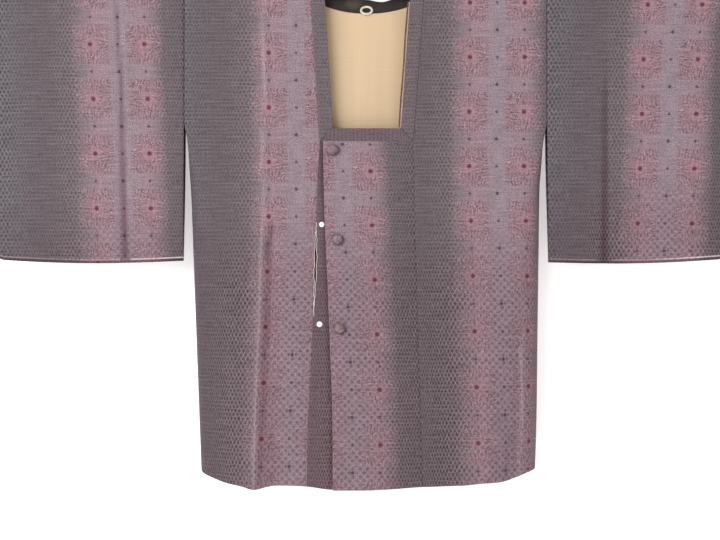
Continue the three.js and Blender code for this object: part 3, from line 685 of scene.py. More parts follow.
for side, name in SIDES:
    def place_on(u, v, side=side):
        s = mix(cloth_at(BODY_HEM), 0, v)
        level = drop_at(s)
        start = abs(inner_edge(side, level)) + (pocket_gap(level) if side < 0 else 0)
        end = edge_across("front", side, to_hem(level, SIDE, "back"))
        across = side * mix(start, end, u)
        if s > QUARTER:
            s = cloth_at(to_hem(level, across, "front"))
        return across, s, rolled(u * (end - start)) + rolled((1 - u) * (end - start))

    def place(u, v):
        across, s, dip = place_on(u, v)
        return body_point("front", across, s, dip)

    def weave(u, v, side=side):
        across, s, _ = place_on(u, v)
        return *design(side, "front", across, s), in_fold(FRONT_CREASES, across, drop_at(s))

    front = cloth_sheet(f"front_{name}_cloth", (52, 150), place, weave, SHELL, [silk, lining])
    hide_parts(f"front_{name}")

# ---- The two backs ------------------------------------------------------------------------------
# They run on from the fronts over the rod, and are sewn to each other down the middle and to the
# back collar round the neck.

NECK_MIDDLE = 3.5
NECK_HALF = 100.5
NECK_CORNER = 33  # how far down the neck's corners lie, and how much further its middle dips
NECK_DIP = 24.7
# The rows of a back: up to the foot of the neck, round the neck to its corner, to the shoulder.
AT_NECK = 0.74
AT_CORNER = 0.9
YOKE = 124  # where the row from the neck's foot comes to the side


def neck_seam(x):
    """How far down the back the collar's seam lies."""
    k = min(abs(x - NECK_MIDDLE) / NECK_HALF, 1)
    return NECK_CORNER + NECK_DIP * (1 - k ** 2.2)


for side, name in SIDES:
    corner = NECK_MIDDLE * side + NECK_HALF

    def place_on(u, v, side=side, corner=corner):
        if v > AT_CORNER:
            s_in = mix(NECK_CORNER, 0, (v - AT_CORNER) / (1 - AT_CORNER))
            s_out = s_in * 0.9
            x = corner
        elif v > AT_NECK:
            k = (v - AT_NECK) / (AT_CORNER - AT_NECK)
            x = corner * k
            s_in = neck_seam(side * x)
            s_out = mix(YOKE, NECK_CORNER * 0.9, k)
        else:
            s_in = mix(cloth_at(BODY_HEM), neck_seam(0), v / AT_NECK)
            s_out = mix(cloth_at(BODY_HEM), YOKE, v / AT_NECK)
            x = 0
        s = mix(s_in, s_out, min(u * 1.25, 1))
        level = drop_at(s)
        end = edge_across("back", side, to_hem(level, SIDE, "back"))
        across = side * mix(x, end, u)
        if s > QUARTER:
            s = cloth_at(to_hem(level, across, "back"))
        return across, s, rolled(u * (end - x)) + rolled((1 - u) * (end - x))

    def place(u, v):
        across, s, dip = place_on(u, v)
        return body_point("back", across, s, dip)

    def weave(u, v, side=side):
        across, s, _ = place_on(u, v)
        return *design(side, "back", across, -s), in_fold(BACK_CREASES, across, drop_at(s))

    back = cloth_sheet(f"back_{name}_cloth", (60, 160), place, weave, SHELL, [silk, lining], 0.7)
    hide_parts(f"back_{name}")

# ---- The sleeves --------------------------------------------------------------------------------
# One strip each, folded over the rod, sewn to the body as far as the armhole's foot, along its own
# foot, and below the hand opening. Each has one pressed fold down its front.

BODY_EDGE = 318.15
SLEEVE_WIDTH = 340
SLEEVE_DROP = 486.5
SLEEVE_SAG = 5.5
SLEEVE_CORNER = 25  # the rounding of its lower corner at the hand
HAND_OPENING = 230
THINS_FROM = 300  # the drop below which the two layers come together towards the foot
SEWN = 0.95  # half the depth where they are sewn together
OVER_ROWS = 0.12  # the share of a layer's rows that bends over the rod
LINED = (0.342, 0.642)  # where the lining starts and ends, in metres from the middle
# The pressed fold's distance from the middle down the sleeve, and the drop where it starts.
SLEEVE_FOLD = {
    -1: ruler(((0, 440), (100, 433), (207, 426.5), (480, 422.5))),
    1: ruler(((0, 423), (240, 419), (480, 420))),
}
FOLD_START = {-1: -90, 1: 100}
SLEEVE_COLUMN = {
    -1: ruler(((109, -482), (250, -474), (397, -470.7))),
    1: ruler(((40, 494.5), (134, 486.7), (231, 483.5), (326, 480.4), (420, 477.2))),
}
SLEEVE_ROW = {-1: 109, 1: 39.6}
SLEEVE_TILE = 95
# How much lower a sleeve's foot hangs beside the body, and how far its free inner edge stands off.
SLEEVE_TILT = {-1: 1.2, 1: 4}
SLEEVE_LEAN = {-1: 1.8, 1: 3.5}


def sleeve_drop(side, share):
    """How far down the foot lies at a share of the sleeve's width, from the body to the hand."""
    corner = max(SLEEVE_CORNER - SLEEVE_WIDTH * (1 - share), 0)
    lost = SLEEVE_CORNER - math.sqrt(max(SLEEVE_CORNER ** 2 - corner ** 2, 0))
    sag = SLEEVE_SAG * math.sin(math.pi * share)
    return SLEEVE_DROP + sag + SLEEVE_TILT[side] * (1 - 2 * share) - lost


def sleeve_across(side, share, h):
    lean = SLEEVE_LEAN[side] * (1 - share) * smooth(h, ARMHOLE, SLEEVE_DROP)
    return BODY_EDGE + share * SLEEVE_WIDTH + lean


def sleeve_depth(side, share, h):
    """Half the distance between the front and the back of the sleeve."""
    start = half_depth(min(h, ARMHOLE))
    closing = min(max((h - THINS_FROM) / (sleeve_drop(side, share) - THINS_FROM), 0), 1)
    cuff = 1 - smooth(share, 0.78, 1) * smooth(h, BEND, HAND_OPENING)
    return SEWN + (start - SEWN) * (1 - closing ** 2.2) * cuff


def down_sleeve(side, v, share):
    """Drop below the shoulder and distance down the cloth, below 0 behind, over the rod between."""
    r = 2 - 4 * v
    past = abs(r) - OVER_ROWS
    if past <= 0:
        s = r / OVER_ROWS * QUARTER
        return drop_at(abs(s)), s
    h = mix(BEND, sleeve_drop(side, share), past / (2 - OVER_ROWS))
    return h, math.copysign(cloth_at(h), r)


def sleeve_fold(side, share, h, s):
    """How deep a place lies in the pressed fold, from 0 to 1."""
    off = sleeve_across(side, share, h) - SLEEVE_FOLD[side](h)
    lower = min(h / 480, 1)
    depth = math.exp(-((off / mix(3.6, 7.5, lower)) ** 2)) * mix(0.6, 1, lower)
    depth *= smooth(h, FOLD_START[side], FOLD_START[side] + 110)
    return depth * (1 if s > 0 else 0.4)


for side, name in SIDES:
    def place(u, v, side=side):
        h, s = down_sleeve(side, v, u)
        x = sleeve_across(side, u, h)
        if abs(s) < QUARTER:
            depth = BEND * math.sin(abs(s) / BEND)
        else:
            depth = max(sleeve_depth(side, u, h) - 2.8 * sleeve_fold(side, u, h, s), SEWN)
        # the foot's seam is rolled to the back, so the front ends in a soft ridge above it
        foot = sleeve_drop(side, u) - h
        if s > 0:
            depth += 0.9 * math.exp(-(((foot - 7) / 2) ** 2)) - 0.5 * (1 - smooth(foot, 2, 5))
        depth += rolled(u * SLEEVE_WIDTH)
        return Vector((side * x / 1000, (-depth if s > 0 else depth) / 1000, -h / 1000 + SHOULDER_Z))

    def weave(u, v, side=side):
        h, s = down_sleeve(side, v, u)
        x = side * sleeve_across(side, u, h)
        column = SLEEVE_COLUMN[side](h if s > 0 else 0)
        foot = sleeve_drop(side, u) - h
        # painted shade in the pressed fold and on the strip below the foot's ridge, and a painted highlight
        # along that ridge
        shade = sleeve_fold(side, u, h, s)
        if s > 0:
            foot_highlight = mix(0.95, 0.4, smooth(u, 0.25, 0.4))
            if side > 0:
                foot_highlight = mix(0.4, 0.95, smooth(u, 0.5, 0.75))
            shade += 0.9 * (1 - smooth(foot, 3.5, 5)) - foot_highlight * math.exp(-(((foot - 6.4) / 0.95) ** 2))
        return (x - column) / SLEEVE_TILE, (s - OVER_ROD - SLEEVE_ROW[side]) / TILE[1], shade

    sleeve = cloth_sheet(f"sleeve_{name}_cloth", (90, 210), place, weave, SHELL, [silk, lining], 0.84)
    # the silk is turned in along the open inner edge and at the hand
    for face in sleeve.data.polygons:
        if not LINED[0] < abs(face.center.x) < LINED[1]:
            face.material_index = 0
    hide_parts(f"sleeve_{name}")

# ---- The front bands ------------------------------------------------------------------------------
# The wearer's left band is the upper one and carries the buttons; the under one, sewn to the right
# front, lies beneath it and carries the press studs' sockets.

# How far across the upper band's free edge lies, by its drop.
BAND_EDGE = ruler((
    (SQUARE_FOOT, -74.3), (382, -72.1), (504, -67), (632, -61.5), (761, -57), (BODY_HEM, -56.3),
))
BAND_TOP = 276.5  # just under the collar's foot
BAND_WIDTH = 157
BAND_TILE = (96, 94.5)
BAND_COLUMN = 14  # from its free edge to a column of tiles, outside it
BAND_ROW = 331.9
UNDER_ROW = 131.5


def upper_lift(x, h):
    """How far the upper band stands off the body, from its seam to its free edge."""
    share = min(max((84 - x) / 158, 0), 1)
    return share * (3.4 + 6 * smooth(h, LEVEL_TO, BODY_HEM))


def under_lift(x):
    """How far the under band lies in behind the body's surface, from its seam on."""
    return -3.1 * min(max((x + 84) / 150, 0), 1)


# the under band lies in the shade of the upper one, and this copy of the silk is tinted redder for it and
# for the collar's bars
shaded_silk = banded_silk("under band silk", (268, 251, 255))

for name in ("upper", "under"):
    upper = name == "upper"

    def place_on(u, v, upper=upper):
        level = mix(BODY_HEM, BAND_TOP, v)
        if upper:
            start = BAND_EDGE(level)
            end = BAND_SEAM[1](level)
            x = mix(start, end, u)
            dip = rolled(end - x)
        else:
            seam = BAND_SEAM[-1](level)
            start = seam + pocket_gap(level)
            x = mix(start, seam + BAND_WIDTH, u)
            dip = rolled(x - start)
        return x, level, dip

    def place(u, v, upper=upper):
        x, level, dip = place_on(u, v)
        lift = upper_lift(x, level) if upper else under_lift(x)
        return body_point("front", x, cloth_at(to_hem(level, x, "front")), lift + dip)

    def weave(u, v, upper=upper):
        x, level, _ = place_on(u, v)
        s = cloth_at(to_hem(level, x, "front")) - OVER_ROD
        if upper:
            c = (x - BAND_EDGE(level) + BAND_COLUMN) / BAND_TILE[0]
            return c, (s - BAND_ROW) / BAND_TILE[1] + 2
        # painted shade, the upper band's shadow: darkest close to the edge of the band above it, and at the
        # top, where the two lie closest
        shade = 0.6 * math.exp(-((min(x - BAND_EDGE(level), 0) / 7) ** 2))
        shade += 0.35 * (1 - smooth(level, 300, 430))
        return -1.1 + (x - BAND_SEAM[-1](level)) / BAND_TILE[0], (s - UNDER_ROW) / TILE[1], shade

    outside = silk if upper else shaded_silk
    band = cloth_sheet(f"band_{name}_cloth", (36, 110), place, weave, SHELL, [outside, lining])
    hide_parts(f"band_{name}")

# ---- The collar -----------------------------------------------------------------------------------
# One strip of the same silk folded double over a stiffener and sewn round the neck: down both
# sides, across the foot of the square in an upper and an under bar, and round the back, where the
# part that shows is near black.

COLLAR = 2.6  # its thickness
COLLAR_LIFT = 0.6  # how far its middle lies outside the body's surface
COLLAR_WIDTH = 22
SQUARE_TOP = 256.4  # the free edge across the foot of the square
SIDE_ENDS = (-32.4, -13.4)  # how far behind the rod the sides end, at the seam and the free edge
BAR_END = (-74.3, -64)  # the upper bar's free end, at its foot and its top
BACK_HALF = 76.5  # half the width of the back collar's free edge
COLLAR_EDGE = {-1: ruler(((0, -73), (SQUARE_TOP, -56.8))), 1: ruler(((0, 80), (SQUARE_TOP, 62)))}
# a copy of the silk painted a little lighter, to make up for the shade on the collar's folded sides
collar_silk = banded_silk("collar silk", (267, 264, 264))


def collar_strip(name, cells, places, weave, lift, materials, spread=0.6):
    """A folded strip between its seam and its free edge; places(u, v) gives across and down."""
    def place(u, v):
        x, s = places(u, v)
        dip = 0.6 * rolled(COLLAR_WIDTH * u)
        return body_point("back" if s < 0 else "front", x, s, lift(x) + dip)

    piece = cloth_sheet(f"{name}_cloth", cells, place, weave, COLLAR, materials, spread)
    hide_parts(name)
    return piece


for side, name in ((-1, "collar_right"), (1, "collar_left")):
    def places(u, v, side=side):
        low = mix(cloth_at(SQUARE_FOOT), cloth_at(SQUARE_TOP), u)
        high = mix(*SIDE_ENDS, u)
        s = mix(low, QUARTER, v / 0.75) if v < 0.75 else mix(QUARTER, high, (v - 0.75) / 0.25)
        h = drop_at(s) if s > 0 else 0
        return mix(COLLAR_SEAM[side](h), COLLAR_EDGE[side](h), u), s

    def weave(u, v, side=side):
        x, s = places(u, v, side)
        return -0.95 + 0.2 * u, s / TILE[1]

    piece = collar_strip(name, (10, 90), places, weave, lambda x: COLLAR_LIFT, [collar_silk])

for name in ("upper", "under"):
    upper = name == "upper"

    def places(u, v, upper=upper):
        h = mix(SQUARE_FOOT - 0.15, SQUARE_TOP, u)
        if upper:
            start = mix(*BAR_END, u)
            end = mix(COLLAR_SEAM[1](SQUARE_FOOT), COLLAR_EDGE[1](SQUARE_TOP), u) - 0.3
        else:
            start = mix(COLLAR_SEAM[-1](SQUARE_FOOT), COLLAR_EDGE[-1](SQUARE_TOP), u) + 0.3
            end = COLLAR_SEAM[-1](SQUARE_FOOT) + BAND_WIDTH
        return mix(start, end, v), cloth_at(h)

    def weave(u, v, upper=upper):
        x, s = places(u, v, upper)
        return -1.0 + 0.2 * u, x / TILE[1]

    def lift(x, upper=upper):
        return COLLAR_LIFT + (upper_lift(x, 0) if upper else under_lift(x) - 0.2)

    piece = collar_strip(f"collar_bar_{name}", (10, 56), places, weave, lift, [shaded_silk])


def dark_silk():
    """Near black for the part of the back collar that shows, over a dull plain weave."""
    material, t = bench("dark collar cloth", 0.75)
    x, y, z = t.axes()
    level = t.noise(t.point(t.times(x, 60), y, t.times(z, 900)), 1.0)
    upright = t.noise(t.point(t.times(x, 900), y, t.times(z, 60)), 1.0)
    uneven = t.plus(t.times(t.plus(level, upright), 0.5), 0.5)
    patches = t.noise(t.point(x, y, z), 28.0, 2)
    colour = t.blend("MIX", t.step(patches, 0.35, 0.7), paint(24, 17, 14), paint(43, 33, 27))
    # paler in one place beside the loop
    paler_patch = t.rest(t.step(t.distance(t.point(x, z, 0.0), -0.022, -0.14), 0.006, 0.02))
    paler_patch = t.times(paler_patch, t.times(patches, 0.8))
    colour = t.blend("MIX", paler_patch, colour, paint(88, 80, 66))
    colour = t.shade(colour, uneven)
    t.give("Base Color", colour)
    t.bump(t.plus(level, upright), 0.0003, 0.6)
    return material


def back_places(u, v):
    x = NECK_MIDDLE + mix(NECK_HALF - 0.15, BACK_HALF - 0.15, u) * (2 * v - 1)
    seam = neck_seam(x) - 0.5
    k = min(abs(x - NECK_MIDDLE) / BACK_HALF, 1)
    # the free edge stands up a little more on the wearer's right than on the left
    edge = 14 + (19 + 7 * smooth(x, 0, 35)) * (1 - k ** 2.2)
    return x, -mix(seam, edge, u)


dark = dark_silk()
collar_back = collar_strip(
    "collar_back", (12, 72), back_places, lambda u, v: (u * 0.24, v * 2), lambda x: COLLAR_LIFT, [dark], 0.5,
)

# ---- Lining, facing and pocket --------------------------------------------------------------------
# Cream silk: the back lining shows through the neck, its edge shows as a strip inside the collar,
# and the pocket bag closes the mouth in the right front's seam.

LINING = 1.0  # its thickness
LINING_LIFT = -1.6  # how far its middle lies from the body's surface, inside it
LINING_SHORT = 22  # how far it ends above the hem
LINING_YOKE = 90  # the drop down to which its rows bend round the neck


def lining_places(u, v):
    half = abs(2 * u - 1)
    side = 1 if u > 0.5 else -1
    below = mix(BODY_HEM, NECK_CORNER, v)
    lift = LINING_LIFT - 1.4 * smooth(below, 60, 200)
    end = edge_across("back", side, to_hem(below, SIDE, "back")) + lift
    across = side * end * half
    top = neck_seam(across) + 0.5
    share = min(max((below - NECK_CORNER) / (LINING_YOKE - NECK_CORNER), 0), 1)
    if share < 1:
        s = mix(top, cloth_at(LINING_YOKE), share)
    else:
        s = cloth_at(to_hem(below, across, "back"))
    s -= LINING_SHORT * min(max((below - LEVEL_TO) / (BODY_HEM - LEVEL_TO), 0), 1)
    return across, s, lift


def lining_point(u, v):
    across, s, lift = lining_places(u, v)
    return body_point("back", across, -s, lift)


back_lining = cloth_sheet(
    "lining_back_cloth", (90, 110), lining_point, lambda u, v: (u, v), LINING, [lining], 0.4,
)
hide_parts("lining_back")

FACING_TOP = 34
FACING_ACROSS = (4, -4.6)  # from the collar's free edge, in under it and out past it


def facing_point(u, v):
    h = mix(SQUARE_TOP - 2, FACING_TOP, v)
    x = COLLAR_EDGE[1](h) + mix(*FACING_ACROSS, u) + 0.4 * math.sin(h / 19) * u
    return body_point("front", x, cloth_at(h), COLLAR_LIFT - COLLAR / 2 - 0.8)


def edge_silk():
    """The facing's folded edge: a painted highlight along the fold, and painted shade where it meets the
    lining.
    """
    material, t = bench("facing edge silk", 0.55)
    u, v, _ = t.axes("cloth")
    # the palest stops are the painted highlight, the cream ones the facing's own colour, the darkest the
    # painted shade
    stops = (
        (0, (226, 212, 200)), (0.34, (236, 224, 212)), (0.46, (196, 168, 138)), (0.62, (176, 148, 120)),
        (0.74, (74, 54, 44)), (1, (70, 50, 42)),
    )
    edge_wobble = t.noise(t.point(u, t.times(v, 26), 0.0), 1.0, 2)
    colour = t.ramp(t.plus(u, t.times(t.minus(edge_wobble, 0.5), 0.25)), stops)
    threads = t.noise(t.point(t.times(u, 12), t.times(v, 260), 2.0), 1.0, 2)
    uneven = t.plus(t.times(threads, 0.3), 0.82)
    colour = t.shade(colour, uneven)
    t.give("Base Color", colour)
    t.bump(threads, 0.0002, 0.4)
    return material


facing = cloth_sheet(
    "collar_facing_cloth", (6, 60), facing_point, lambda u, v: (u, v), LINING, [edge_silk()], 0.1,
)
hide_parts("collar_facing")

BAG_DROPS = (642, 399)  # the pocket bag's foot and top
BAG_ACROSS = (12, -150)  # from the band's seam, beneath the under band and behind the front
BAG_BEHIND = 5


def pocket_point(u, v):
    h = mix(*BAG_DROPS, v)
    x = BAND_SEAM[-1](h) + mix(*BAG_ACROSS, u)
    return body_point("front", x, cloth_at(h), LINING_LIFT - BAG_BEHIND)


# the pocket bag is the cream lining painted dark, for the shade deep in the mouth
pocket_lining_painted_dark = lining_silk("pocket silk", (84, 62, 60))
pocket = cloth_sheet(
    "pocket_bag_cloth", (30, 40), pocket_point, lambda u, v: (u, v), LINING, [pocket_lining_painted_dark], 0.4,
)
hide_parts("pocket_bag")


def cord(name, points, thickness, sides=4):
    """A round cord or wire through a row of points, turned into a mesh."""
    bpy.ops.object.select_all(action="DESELECT")
    bpy.ops.curve.primitive_bezier_curve_add()
    line = bpy.context.object
    line.name = name
    spline = line.data.splines[0]
    spline.bezier_points.add(len(points) - 2)
    for knot, place in zip(spline.bezier_points, points):
        knot.co = place
        knot.handle_left_type = "AUTO"
        knot.handle_right_type = "AUTO"
    spline.resolution_u = 6
    line.data.bevel_depth = thickness / 2000
    line.data.bevel_resolution = sides
    line.data.use_fill_caps = True
    bpy.ops.object.convert(target="MESH")
    piece = bpy.context.object
    bpy.ops.object.shade_smooth_by_angle(angle=math.radians(50))
    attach(piece, "root")
    return piece


# a fine rolled edge of cream silk runs down both lips of the mouth
LIPS = ((-1, 421, 568), (1, 436, 584))  # side, and the drops between which its rolled edge shows
LIP_CORD = 0.65
rolled_edge = lining_silk("rolled edge silk", (252, 244, 240))
for side, first, last in LIPS:
    knots = []
    for k in range(30):
        h = mix(first, last, k / 29)
        sway = 0.45 * math.sin(h / 5.1 + side) + 0.3 * math.sin(h / 2.3)
        x = BAND_SEAM[-1](h) + side * (pocket_gap(h) - 0.2) + sway
        knots.append(body_point("front", x, cloth_at(h), 0.75 + 0.35 * math.sin(h / 6.5 + 2 * side)))
    lip = cord(f"pocket_edge_{1 if side < 0 else 2}", knots, LIP_CORD, 2)
    lip.data.materials.append(rolled_edge)

# ---- Covered buttons --------------------------------------------------------------------------------
# Three half-ball buttons covered in the coat's silk, each gathered under and sewn to the upper band
# on a short thread shank. The top one is the widest.

BUTTONS = ((-57, 295.4, 12), (-48.3, 451.8, 10.4), (-44.6, 605.2, 10.2))  # across, drop, half width
BUTTON_HALF_HEIGHT = 10


def stand_on_front(piece, x, h, lift):
    """Moves a piece made at the origin, facing up, onto the front's cloth and facing out of it."""
    here = body_point("front", x, cloth_at(h), lift)
    right = (body_point("front", x + 1, cloth_at(h), lift) - here).normalized()
    up = (body_point("front", x, cloth_at(h) - 1, lift) - here).normalized()
    out = right.cross(up).normalized()
    foot = here + out * (SHELL / 2 + 0.3) / 1000
    for vertex in piece.data.vertices:
        a, b, c = vertex.co
        vertex.co = foot + right * a + up * b + out * c
    piece.data.update()


def button_silk():
    material, t = bench("button silk", 0.6)
    x, y, z = t.axes()
    threads = t.noise(t.point(x, y, z), 1100.0)
    gathers = t.noise(t.point(t.times(x, 520), y, t.times(z, 110)), 1.0, 1)
    patches = t.noise(t.point(x, y, z), 190.0, 1)
    a, b, _ = t.axes("cover")
    colour = t.blend("MIX", t.step(patches, 0.35, 0.65), paint(108, 82, 90), paint(140, 114, 120))
    # painted shade in the cover's gathers
    colour = t.blend("MIX", t.times(t.step(gathers, 0.48, 0.6), 0.7), colour, paint(88, 58, 68))
    # painted shade, deeper towards the rim and most of all at the lower side, and a painted highlight at the
    # upper side
    low = t.minus(t.times(a, 0.7), t.times(b, 0.7))
    rim = t.step(t.distance(t.point(a, b, 0.0), 0, 0), 0.6, 0.97)
    rim = t.times(rim, t.plus(0.68, t.times(low, 0.3)))
    pale = t.times(t.step(low, -0.1, -0.6), 0.3)
    colour = t.blend("MIX", pale, colour, paint(172, 150, 154))
    colour = t.blend("MIX", rim, colour, paint(66, 40, 48))
    uneven = t.plus(t.times(threads, 1.1), 0.35)
    colour = t.shade(colour, uneven)
    t.give("Base Color", colour)
    t.give("Sheen Weight", 0.15)
    t.bump(threads, 0.0002, 0.5)
    return material


button_cover = button_silk()
for i, (x, h, radius) in enumerate(BUTTONS):
    bpy.ops.object.select_all(action="DESELECT")
    bpy.ops.mesh.primitive_uv_sphere_add(segments=44, ring_count=22, radius=1)
    button = bpy.context.object
    button.name = f"button_{i + 1}_cover"
    cover = button.data.uv_layers[0]
    cover.name = "cover"
    for loop, spot in zip(button.data.loops, cover.data):
        spot.uv = button.data.vertices[loop.vertex_index].co.xy
    for vertex in button.data.vertices:
        a, b, c = vertex.co
        angle = math.atan2(b, a)
        rim = math.exp(-((c / 0.45) ** 2))
        gather = 1 - 0.035 * rim * (0.5 + 0.5 * math.cos(9 * angle + 2 * math.sin(angle + i)))
        soft = 1 + 0.02 * math.sin(2 * angle + i)
        # its widest ring is 4.2 above the cloth, and the front is pressed in a little at its middle
        height = 4.2 + (5.3 * c if c > 0 else 2.8 * c)
        height -= 0.5 * math.exp(-(a * a + b * b) / 0.12) * (c > 0)
        edge = gather * soft / 1000
        vertex.co = (radius * a * edge, BUTTON_HALF_HEIGHT * b * edge, height / 1000)
    stand_on_front(button, x, h, upper_lift(x, h))
    button.data.materials.append(button_cover)
    bpy.ops.object.shade_smooth()
    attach(button, "root")
    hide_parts(f"button_{i + 1}")

# ---- Press studs --------------------------------------------------------------------------------------
# The sockets of two press studs, of white enamelled brass, sewn to the under band: a flat rim, a
# raised ring, and in its middle a hollow of metal, painted darker for its shade, that takes the other half's
# ball.

SNAPS = ((-76, 425, 4.5, 1.2), (-79.5, 597.8, 4.8, 0.9))  # across, drop, radius, hollow's radius
SNAP_RIM = 0.7  # thickness of the flat rim

enamel, t = bench("white enamel", 0.3)
t.give("Base Color", paint(247, 244, 242))
t.give("Coat Weight", 0.4)
hollow_metal_painted_dark, t = bench("hollow metal painted dark for its shade", 0.45)
t.give("Base Color", paint(196, 172, 172))
t.give("Metallic", 0.6)
for i, (x, h, radius, hollow) in enumerate(SNAPS):
    bpy.ops.object.select_all(action="DESELECT")
    rim = SNAP_RIM / 1000
    middle = (0, 0, rim / 2)
    bpy.ops.mesh.primitive_cylinder_add(vertices=40, radius=radius / 1000, depth=rim, location=middle)
    snap = bpy.context.object
    snap.name = f"snap_{i + 1}_socket"
    bpy.ops.object.transform_apply(location=True)
    bpy.ops.object.mode_set(mode="EDIT")
    bpy.ops.mesh.select_mode(type="FACE")
    bpy.ops.mesh.select_all(action="DESELECT")
    bpy.ops.object.mode_set(mode="OBJECT")
    for face in snap.data.polygons:
        face.select = face.normal.z > 0.9
    bpy.ops.object.mode_set(mode="EDIT")
    # in over the rim, up the ring, over its round top, across it, and down into the hollow
    for inwards, rise in ((1.4, 0), (0.15, 1.1), (0.5, 0.15), (radius - 2.05 - hollow, 0), (0.15, -0.9)):
        bpy.ops.mesh.inset(thickness=inwards / 1000, depth=rise / 1000)
    bpy.ops.object.mode_set(mode="OBJECT")
    bpy.ops.object.modifier_add(type="BEVEL")
    edge = snap.modifiers[-1]
    edge.width = 0.00015
    edge.segments = 2
    edge.angle_limit = math.radians(35)
    bpy.ops.object.modifier_apply(modifier=edge.name)
    snap.data.materials.append(enamel)
    snap.data.materials.append(hollow_metal_painted_dark)
    # the faces in the hollow take the metal painted dark for the shade there
    for face in snap.data.polygons:
        if math.hypot(face.center.x, face.center.y) < (hollow - 0.1) / 1000 and face.center.z > 0.0002:
            face.material_index = 1
    stand_on_front(snap, x, h, under_lift(x))
    bpy.ops.object.shade_smooth_by_angle(angle=math.radians(35))
    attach(snap, "root")
    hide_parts(f"snap_{i + 1}")

# ---- Hanging loop -------------------------------------------------------------------------------------
# A short loop of twisted off-white cord, sewn by both its ends where the back collar meets the
# lining, to hang the coat up by.

LOOP_MIDDLE = (2, 9.6, -45.2)  # across, behind the rod's middle, and below the shoulder line
LOOP_HALF_WIDTH = 9.6
LOOP_HALF_HEIGHT = 6.5
LOOP_LEAN = 1.2
LOOP_CORD = 4.0

loop_cord, t = bench("off-white cord", 0.7)
x, y, z = t.axes()
twist = t.calc("SINE", t.times(t.plus(t.plus(x, z), y), 3600))
lit = t.plus(t.times(twist, 0.09), 0.9)
colour = t.shade(paint(240, 233, 216), lit)
t.give("Base Color", colour)
t.bump(twist, 0.0004, 0.7)
ring = []
for k in range(15):
    a = (-0.5 + k / 7) * math.pi
    across = LOOP_MIDDLE[0] - LOOP_HALF_WIDTH * math.cos(a)
    behind = LOOP_MIDDLE[1] + LOOP_LEAN * math.sin(a)
    height = LOOP_MIDDLE[2] + LOOP_HALF_HEIGHT * math.sin(a)
    ring.append(Vector((across, behind, height)) / 1000 + Vector((0, 0, SHOULDER_Z)))
loop = cord("hanging_loop_cord", ring, LOOP_CORD)
loop.data.materials.append(loop_cord)
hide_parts("hanging_loop")

# ---- Hanger -------------------------------------------------------------------------------------------
# A plain straight kimono hanger: a round wooden rod through both sleeves and a plated wire hook let
# into its middle.

ROD_AXIS = SHOULDER_Z * 1000 - BEND
ROD_RADIUS = 11.6
ROD_LENGTH = 1344.3
WIRE = 4.4
HOOK_INSIDE = 20  # radius; its top is the frame's middle, where the rail goes
HOOK_NECK = -62  # where the wire's straight stem ends
HOOK_FOOT = 8.7  # how deep the stem is let into the rod
HOOK_TURN = (-62, 208)  # degrees, from above the stem over the hook's top to its tip

wood, t = bench("varnished wood", 0.42)
x, y, z = t.axes()
grain = t.noise(t.point(t.times(x, 0.03), y, z), 160.0, 5)
figure = t.noise(t.point(t.times(x, 0.05), y, z), 40.0, 2)
colour = t.blend("MIX", t.step(grain, 0.35, 0.7), paint(205, 165, 115), paint(160, 112, 68))
colour = t.blend("MIX", t.times(figure, 0.4), colour, paint(150, 105, 62))
t.give("Base Color", colour)
t.bump(grain, 0.0002, 0.3)
bpy.ops.object.select_all(action="DESELECT")
axis = (0, 0, ROD_AXIS / 1000)
level = (0, math.pi / 2, 0)
bpy.ops.mesh.primitive_cylinder_add(
    vertices=64, radius=ROD_RADIUS / 1000, depth=ROD_LENGTH / 1000, location=axis, rotation=level,
)
rod = bpy.context.object
rod.name = "hanger_rod_wood"
bpy.ops.object.transform_apply(location=True, rotation=True)
bpy.ops.object.modifier_add(type="BEVEL")
edge = rod.modifiers[-1]
edge.width = 0.003
edge.segments = 4
edge.angle_limit = math.radians(60)
bpy.ops.object.modifier_apply(modifier=edge.name)
bpy.ops.object.shade_smooth_by_angle(angle=math.radians(40))
rod.data.materials.append(wood)
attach(rod, "root")
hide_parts("hanger_rod")

steel, t = bench("plated wire", 0.22)
x, y, z = t.axes()
t.give("Base Color", paint(205, 207, 210))
t.give("Metallic", 1.0)
t.bump(t.noise(t.point(x, y, z), 900.0), 0.00005, 0.3)
rod_top = ROD_AXIS + ROD_RADIUS
bends = [(0, 0, rod_top - HOOK_FOOT), (0, 0, rod_top + 13.3), (0, 0, HOOK_NECK)]
wire_radius = HOOK_INSIDE + WIRE / 2
for degrees in range(HOOK_TURN[0], HOOK_TURN[1] + 1, 18):
    a = math.radians(degrees)
    bends.append((wire_radius * math.cos(a), 0, wire_radius * math.sin(a) - HOOK_INSIDE))
hook = cord("hanger_hook_wire", [Vector(b) / 1000 for b in bends], WIRE, 6)
hook.data.materials.append(steel)
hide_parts("hanger_hook")

# ---- Floor, camera and light ----------------------------------------------------------------------
# A white studio: a pale floor well below the hem, a white wall close behind, an even white surround
# and a soft light from the upper left of the front.

bpy.ops.object.select_all(action="DESELECT")
bpy.ops.mesh.primitive_plane_add(size=30, location=(0, 0, -1.32))
floor = bpy.context.object
floor.name = "floor"
white, t = bench("white floor", 0.9)
t.give("Base Color", paint(250, 250, 249))
t.give("Emission Color", (1, 1, 1, 1))
t.give("Emission Strength", 0.4)
floor.data.materials.append(white)

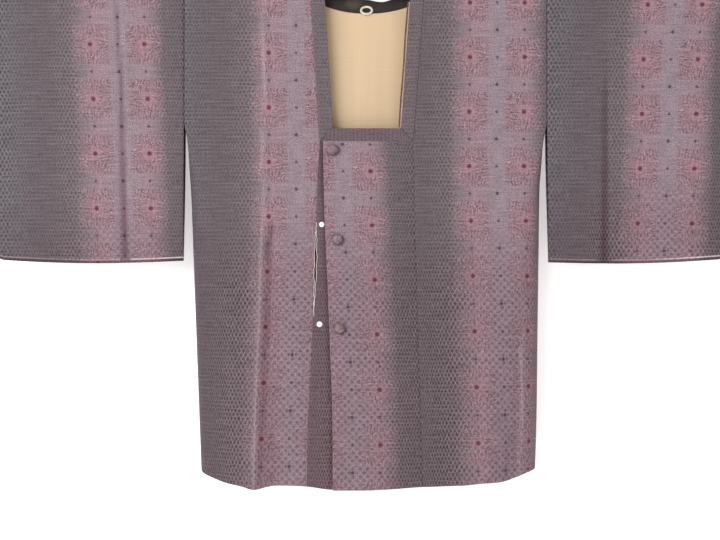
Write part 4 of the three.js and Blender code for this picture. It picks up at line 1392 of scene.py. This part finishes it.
# The wall takes the coat's own shade and gives none back. Its back face is clear.
bpy.ops.object.select_all(action="DESELECT")
bpy.ops.mesh.primitive_plane_add(size=7, location=(0, 0.085, -0.6), rotation=(math.pi / 2, 0, 0))
wall = bpy.context.object
wall.name = "wall"
bpy.ops.object.transform_apply(location=True, rotation=True)
wall.visible_diffuse = False
wall.visible_glossy = False
wall.visible_shadow = False
chalk, t = bench("white wall", 1.0)
t.give("Base Color", (1, 1, 1, 1))
t.give("Specular IOR Level", 0.0)
t.give("Emission Color", (1, 0.985, 0.96, 1))
t.give("Emission Strength", 0.33)
nodes = chalk.node_tree.nodes
turned_away = nodes.new("ShaderNodeNewGeometry").outputs["Backfacing"]
clear = nodes.new("ShaderNodeBsdfTransparent").outputs[0]
either = nodes.new("ShaderNodeMixShader")
t.feed(either.inputs[0], turned_away)
t.feed(either.inputs[1], t.shader.outputs[0])
t.feed(either.inputs[2], clear)
t.feed(nodes["Material Output"].inputs["Surface"], either.outputs[0])
wall.data.materials.append(chalk)

world = bpy.data.worlds.new("white studio")
bpy.context.scene.world = world
world.use_nodes = True
surround = world.node_tree.nodes["Background"]
surround.inputs["Color"].default_value = (1, 1, 1, 1)
# the surround is white where it is seen, and lights the coat a little less than that
seen = world.node_tree.nodes.new("ShaderNodeLightPath").outputs["Is Camera Ray"]
amount = world.node_tree.nodes.new("ShaderNodeMapRange")
amount.inputs["To Min"].default_value = 0.62
amount.inputs["To Max"].default_value = 1.05
world.node_tree.links.new(seen, amount.inputs["Value"])
world.node_tree.links.new(amount.outputs[0], surround.inputs["Strength"])

COAT_MIDDLE = Vector((0, 0, -0.55))


def soft_light(place, size, energy):
    """A square soft light, turned to the middle of the coat."""
    bpy.ops.object.light_add(type="AREA", location=place)
    light = bpy.context.object
    light.data.size = size
    light.data.energy = energy
    light.rotation_euler = (COAT_MIDDLE - light.location).to_track_quat("-Z", "Y").to_euler()


soft_light((-2.9, -5.4, 1.3), 3.6, 222)
# a second one behind, which only the back of the coat sees
soft_light((0.8, 7.5, 0.2), 4.0, 170)

# The camera looks at the coat straight on and level, from about two and a half metres.
bpy.ops.object.camera_add(location=(-0.0096, -2.414, -0.616), rotation=(math.pi / 2, 0, 0))
camera = bpy.context.object
camera.data.lens = 68.55
camera.data.sensor_width = 36
bpy.context.scene.camera = camera
bpy.context.scene.view_settings.view_transform = "Standard"
